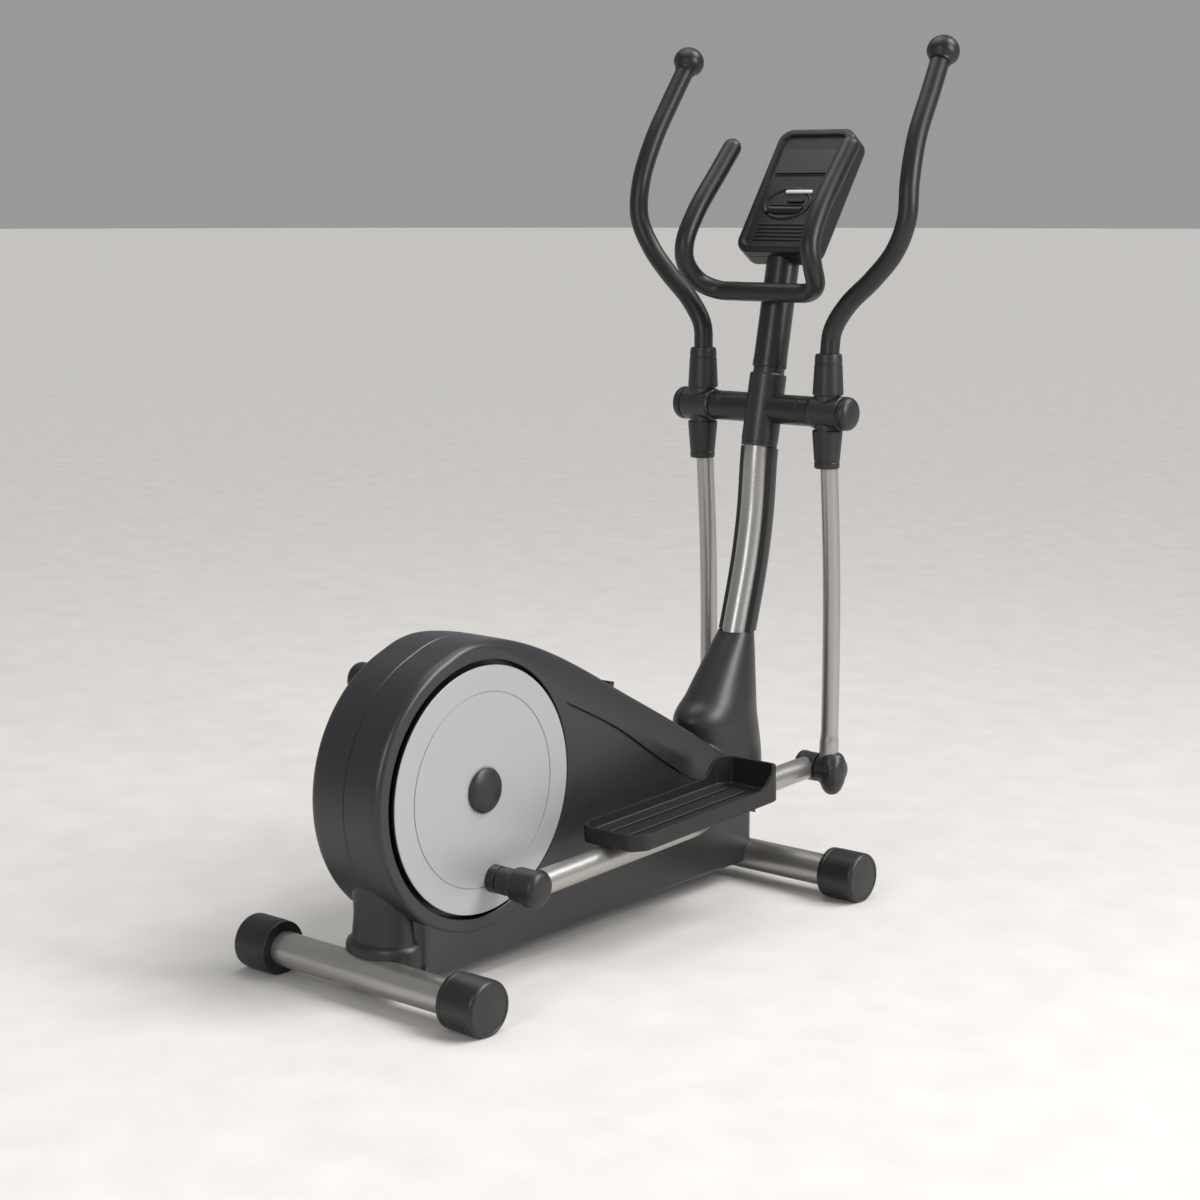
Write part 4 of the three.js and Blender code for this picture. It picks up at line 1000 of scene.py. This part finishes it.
def footplate():
    """Tray with low sides, a high wall round the toes and broad strips along the tread."""
    width = PLATE["x1"] - PLATE["x0"]
    centre = Vector(((PLATE["x0"] + PLATE["x1"]) / 2, PLATE["start"] + PLATE["length"] / 2))
    base = PLATE["base"]
    wall = 0.008

    def place(x, y, z):
        return Vector((centre.x + x, centre.y + y, z))

    top = base + PLATE["toe"]
    outside = octagon(width, PLATE["length"], 0.02, 0.026, 0.01)
    sides = [(base, 0.003), (base + 0.001, 0.0012), (base + 0.003, 0), (top, 0)]
    tray = solid(prism, outside, sides, place)
    inside = octagon(width - 2 * wall, PLATE["length"] - 2 * wall, 0.0175, 0.0235)
    floor = base + 0.012
    hollow = [(floor, 0.004), (floor + 0.0015, 0.0015), (floor + 0.004, 0), (top + 0.01, -0.002)]
    cut(tray, solid(prism, inside, hollow, place))

    slope_start = PLATE["start"] + PLATE["length"] - 0.068
    slope_end = PLATE["start"] + PLATE["length"] - 0.018
    rise = []
    for k in range(15):
        share = k / 14
        rise.append((slope_start + (slope_end - slope_start) * share,
                     base + PLATE["height"] + (PLATE["toe"] - PLATE["height"]) * smooth_step(share, 0, 1)))
    above = [(PLATE["start"] - 0.05, base + PLATE["height"]), *rise, (slope_end + 0.1, top + 0.001),
             (slope_end + 0.1, top + 0.1), (PLATE["start"] - 0.05, top + 0.1)]
    cut(tray, solid(prism, above, [(0.05, 0), (0.3, 0)], across_x))
    bevelled(tray, 0.0026)

    strips = []
    for shift in (-0.04, 0.0, 0.04):
        outline = [Vector((centre.x + shift, PLATE["start"] + 0.207)) + p for p in
                   rounded_box(0.031, 0.362, 0.008, 5)]
        strips.append(solid(prism, outline, rounded_levels(floor - 0.002, floor + 0.0045, 0.0022, 4, 0.0),
                            lambda x, y, z: Vector((x, y, z))))
    return join(tray, *strips)


# ---------- fixed handlebar ----------
HANDLEBAR = mm((60, 896, 1130), (108, 893, 1132), (138, 872, 1148), (150, 844, 1185), (148, 838, 1222),
               (145, 868, 1280), (141, 940, 1364), (139, 990, 1420))


def fixed_handlebar():
    right = [side_point(*p) for p in HANDLEBAR]
    left = [Vector((-p.x, p.y, p.z)) for p in reversed(right)]
    ends = 0.0185
    direction = (right[-1] - right[-2]).normalized()
    right[-1] = right[-1] - direction * ends
    left[0] = Vector((-right[-1].x, right[-1].y, right[-1].z))
    path = evenly(spline([*left, side_point(0, 0.8965, 1.13), *right], 12), 0.006)
    finished(solid(tube, path, 0.0185, 64, True, True), "fixed_handlebar")


# ---------- console ----------
FACE_NORMAL = Vector((0, -math.cos(CONSOLE_LEAN), math.sin(CONSOLE_LEAN)))
FACE_UP = Vector((0, math.sin(CONSOLE_LEAN), math.cos(CONSOLE_LEAN)))
SPLIT = 0.024
RECESS = 0.007
DISPLAY_V = 0.066
BEZEL = {"x": -0.008, "v": -0.031, "half_x": 0.053, "half_v": 0.034}


def on_face(x, v, depth):
    """A point from its place across and up the console's face and its depth behind it."""
    centre = side_point(0, CONSOLE["y"], CONSOLE["z"])
    return centre + Vector((x, 0, 0)) + FACE_UP * v - FACE_NORMAL * depth


def face_prism(outline, levels, x=0.0, v=0.0):
    return solid(prism, outline, levels, lambda px, pv, depth: on_face(x + px, v + pv, depth))


def ring_ridge(half_x, half_v, thick, height, depth):
    """A raised oval bead on the console's face."""
    bm = bmesh.new()
    rings = []
    for i in range(72):
        a = 2 * math.pi * i / 72
        out = Vector((math.cos(a) / half_x, math.sin(a) / half_v)).normalized()
        ring = []
        for k in range(12):
            b = 2 * math.pi * k / 12
            shift = out * thick * math.cos(b)
            ring.append(on_face(BEZEL["x"] + half_x * math.cos(a) + shift.x,
                                BEZEL["v"] + half_v * math.sin(a) + shift.y, depth - height * math.sin(b)))
        rings.append(ring)
    skin(bm, rings, wrap=True)
    return to_object("work", bm)


def console():
    width, height, depth = CONSOLE["width"], CONSOLE["height"], CONSOLE["depth"]
    outline = rounded_box(width, height, 0.03, 12)
    front = face_prism(outline, rounded_levels(0, SPLIT - 0.0003, 0.0012, 7, 0.01))
    recess = [(-0.002, -0.0008), (0.0006, 0), (0.0018, 0.0018), (RECESS - 0.0008, 0.0032), (RECESS, 0.0042)]
    cut(front, face_prism(rounded_box(width - 0.026, height - 0.026, 0.02, 8), recess, v=-0.002))
    cut(front, face_prism(rounded_box(width - 0.012, height - 0.012, 0.024, 8),
                          [(RECESS + 0.003, 0), (SPLIT + 0.01, 0)]))
    display = face_prism(rounded_box(0.1336, 0.0576, 0.006, 6), [(RECESS - 0.003, 0), (RECESS + 0.0008, 0)],
                         v=DISPLAY_V)
    brow_levels = [(RECESS - 0.0016, 0.0004), (RECESS + 0.001, 0)]
    brow = face_prism(rounded_box(0.134, 0.0022, 0.001, 3), brow_levels, v=0.0345)
    join(front, brow)
    cut(front, display)
    ridge_levels = rounded_levels(RECESS - 0.0022, RECESS + 0.001, 0, 3, 0.0016)
    for k in range(5):
        join(front, face_prism(rounded_box(0.112, 0.0042, 0.002, 4), ridge_levels, v=-0.08 - 0.0088 * k))
    join(front, ring_ridge(BEZEL["half_x"], BEZEL["half_v"], 0.0042, 0.0032, RECESS))
    low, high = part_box("control_roller")
    roller_centre = (low + high) / 2
    half_length = (high.x - low.x) / 2
    roller_v = (roller_centre - on_face(0, 0, 0)).dot(FACE_UP)
    slot = face_prism(rounded_box(2 * half_length + 0.004, 0.022, 0.005, 5), [(-0.002, 0), (0.02, 0)],
                      roller_centre.x, roller_v)
    cut(front, slot)
    for node in ("start_button", "mode_button"):
        x, v, across, tall = key_place(node)
        hole = rounded_box(across + 0.0012, tall + 0.0012, tall / 2, 6)
        cut(front, face_prism(hole, [(-0.002, 0), (0.02, 0)], x, v))
        key = face_prism(rounded_box(across, tall, tall / 2 - 0.0001, 6),
                         rounded_levels(0.003, 0.012, 0.0004, 4, 0.0016), x, v)
        finished(key, node, MATERIALS["button_plastic" if node == "start_button" else "console_plastic"])
    finished(front, "console_front_shell")

    rear = face_prism(outline, rounded_levels(SPLIT + 0.0003, depth, 0.014, 9, 0.0012))
    inside = rounded_box(width - 0.01, height - 0.01, 0.026, 8)
    cut(rear, face_prism(inside, [(SPLIT - 0.01, 0), (0.038, 0)]))
    for k in range(6):
        vent = face_prism(rounded_box(0.06, 0.004, 0.0019, 4), [(depth - 0.002, 0), (depth + 0.01, 0)],
                          v=0.045 + 0.01 * k)
        cut(rear, vent)
    finished(rear, "console_rear_shell")

    lens_levels = rounded_levels(0.004, 0.0067, 0.0003, 3, 0.0008)
    lens = face_prism(rounded_box(0.132, 0.056, 0.005, 6), lens_levels, v=DISPLAY_V)
    finished(lens, "display_lens")

    radius = 0.009
    profile = [(-half_length, 0), (-half_length, radius - 0.001), (-half_length + 0.001, radius)]
    knurls = 19
    for k in range(knurls):
        along = -half_length + 0.004 + (2 * half_length - 0.008) * k / (knurls - 1)
        for shift, depth in mm((-1.2, 0), (-0.6, 0.7), (0.6, 0.7), (1.2, 0)):
            profile.append((along + shift, radius - depth))
    profile += [(half_length - 0.001, radius), (half_length, radius - 0.001), (half_length, 0)]
    finished(solid(lathe, profile, roller_centre), "control_roller")


def key_place(node):
    """Where a key lies on the console's face, and its width and height."""
    low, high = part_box(node)
    centre = (low + high) / 2
    tall = {"start_button": 0.008, "mode_button": 0.007}[node]
    return centre.x, (centre - on_face(0, 0, 0)).dot(FACE_UP), high.x - low.x, tall


# ---------- inside the body ----------
INSIDE_NODES = ("main_frame", "crank_axle", "drive_pulley", "flywheel", "flywheel_axle", "drive_belt",
                "idler_wheel", "brake_bracket")


def inside_parts():
    """The working parts behind the shells keep their CAD shapes and get a finish each."""
    for node in INSIDE_NODES:
        mesh = frame["nodes"][node].data
        mesh.materials.clear()
        mesh.materials.append(MATERIALS[SLOT_OF[node]])


# ---------- studio ----------
FLOOR_RADIUS = 85


def area_light(name, place, aim, size, power):
    light = bpy.data.lights.new(name, "AREA")
    light.shape = "RECTANGLE"
    light.size, light.size_y = size
    light.energy = power
    obj = bpy.data.objects.new(name, light)
    obj.location = place
    obj.rotation_euler = (Vector(aim) - Vector(place)).to_track_quat("-Z", "Y").to_euler()
    bpy.context.scene.collection.objects.link(obj)


def studio():
    slab = [(-0.02, 0), (-0.02, FLOOR_RADIUS), (-0.0002, FLOOR_RADIUS), (-0.0002, 0)]
    floor = solid(lathe, slab, (0, 0, 0), (0, 0, 1), segments=256)
    floor.name = "studio_floor"
    floor.data.materials.append(surface("studio_floor", (0.7, 0.675, 0.645), 0.6, grain=(200, 0.02)))

    world = bpy.data.worlds.new("studio")
    world.use_nodes = True
    background = world.node_tree.nodes["Background"]
    background.inputs["Color"].default_value = (0.93, 0.94, 0.95, 1)
    background.inputs["Strength"].default_value = 0.34
    bpy.context.scene.world = world

    area_light("key", (3.3, 0.5, 2.3), (0, 0, 0.6), (0.9, 1.9), 75)
    area_light("top", (-0.6, 0.4, 3.6), (0, 0.1, 0.4), (2, 2), 28)
    area_light("rear", (0.6, -3.3, 1.7), (0, -0.2, 0.5), (0.7, 1.6), 26)
    sun = bpy.data.lights.new("sun", "SUN")
    sun.energy = 2.1
    sun.angle = math.radians(30)
    sun_object = bpy.data.objects.new("sun", sun)
    sun_object.rotation_euler = (math.radians(-24), math.radians(30), 0)
    bpy.context.scene.collection.objects.link(sun_object)

    bpy.context.scene.view_settings.view_transform = "Standard"
    camera = bpy.data.cameras.new("camera")
    camera.lens = 69.8
    camera.sensor_width = 36
    camera_object = bpy.data.objects.new("camera", camera)
    camera_object.location = (2.665, -3.2257, 1.32)
    camera_object.rotation_euler = (math.radians(90 - 9.94), 0, math.radians(39.88))
    bpy.context.scene.collection.objects.link(camera_object)
    bpy.context.scene.camera = camera_object


body_shells()
mast_shroud()
mast()
feet()
rear_bracket()
cross_axle()
for side_name, side_sign in SIDES:
    swing_arm(side_name, side_sign)
    pedal(side_name, side_sign)
crank()
fixed_handlebar()
console()
inside_parts()
studio()
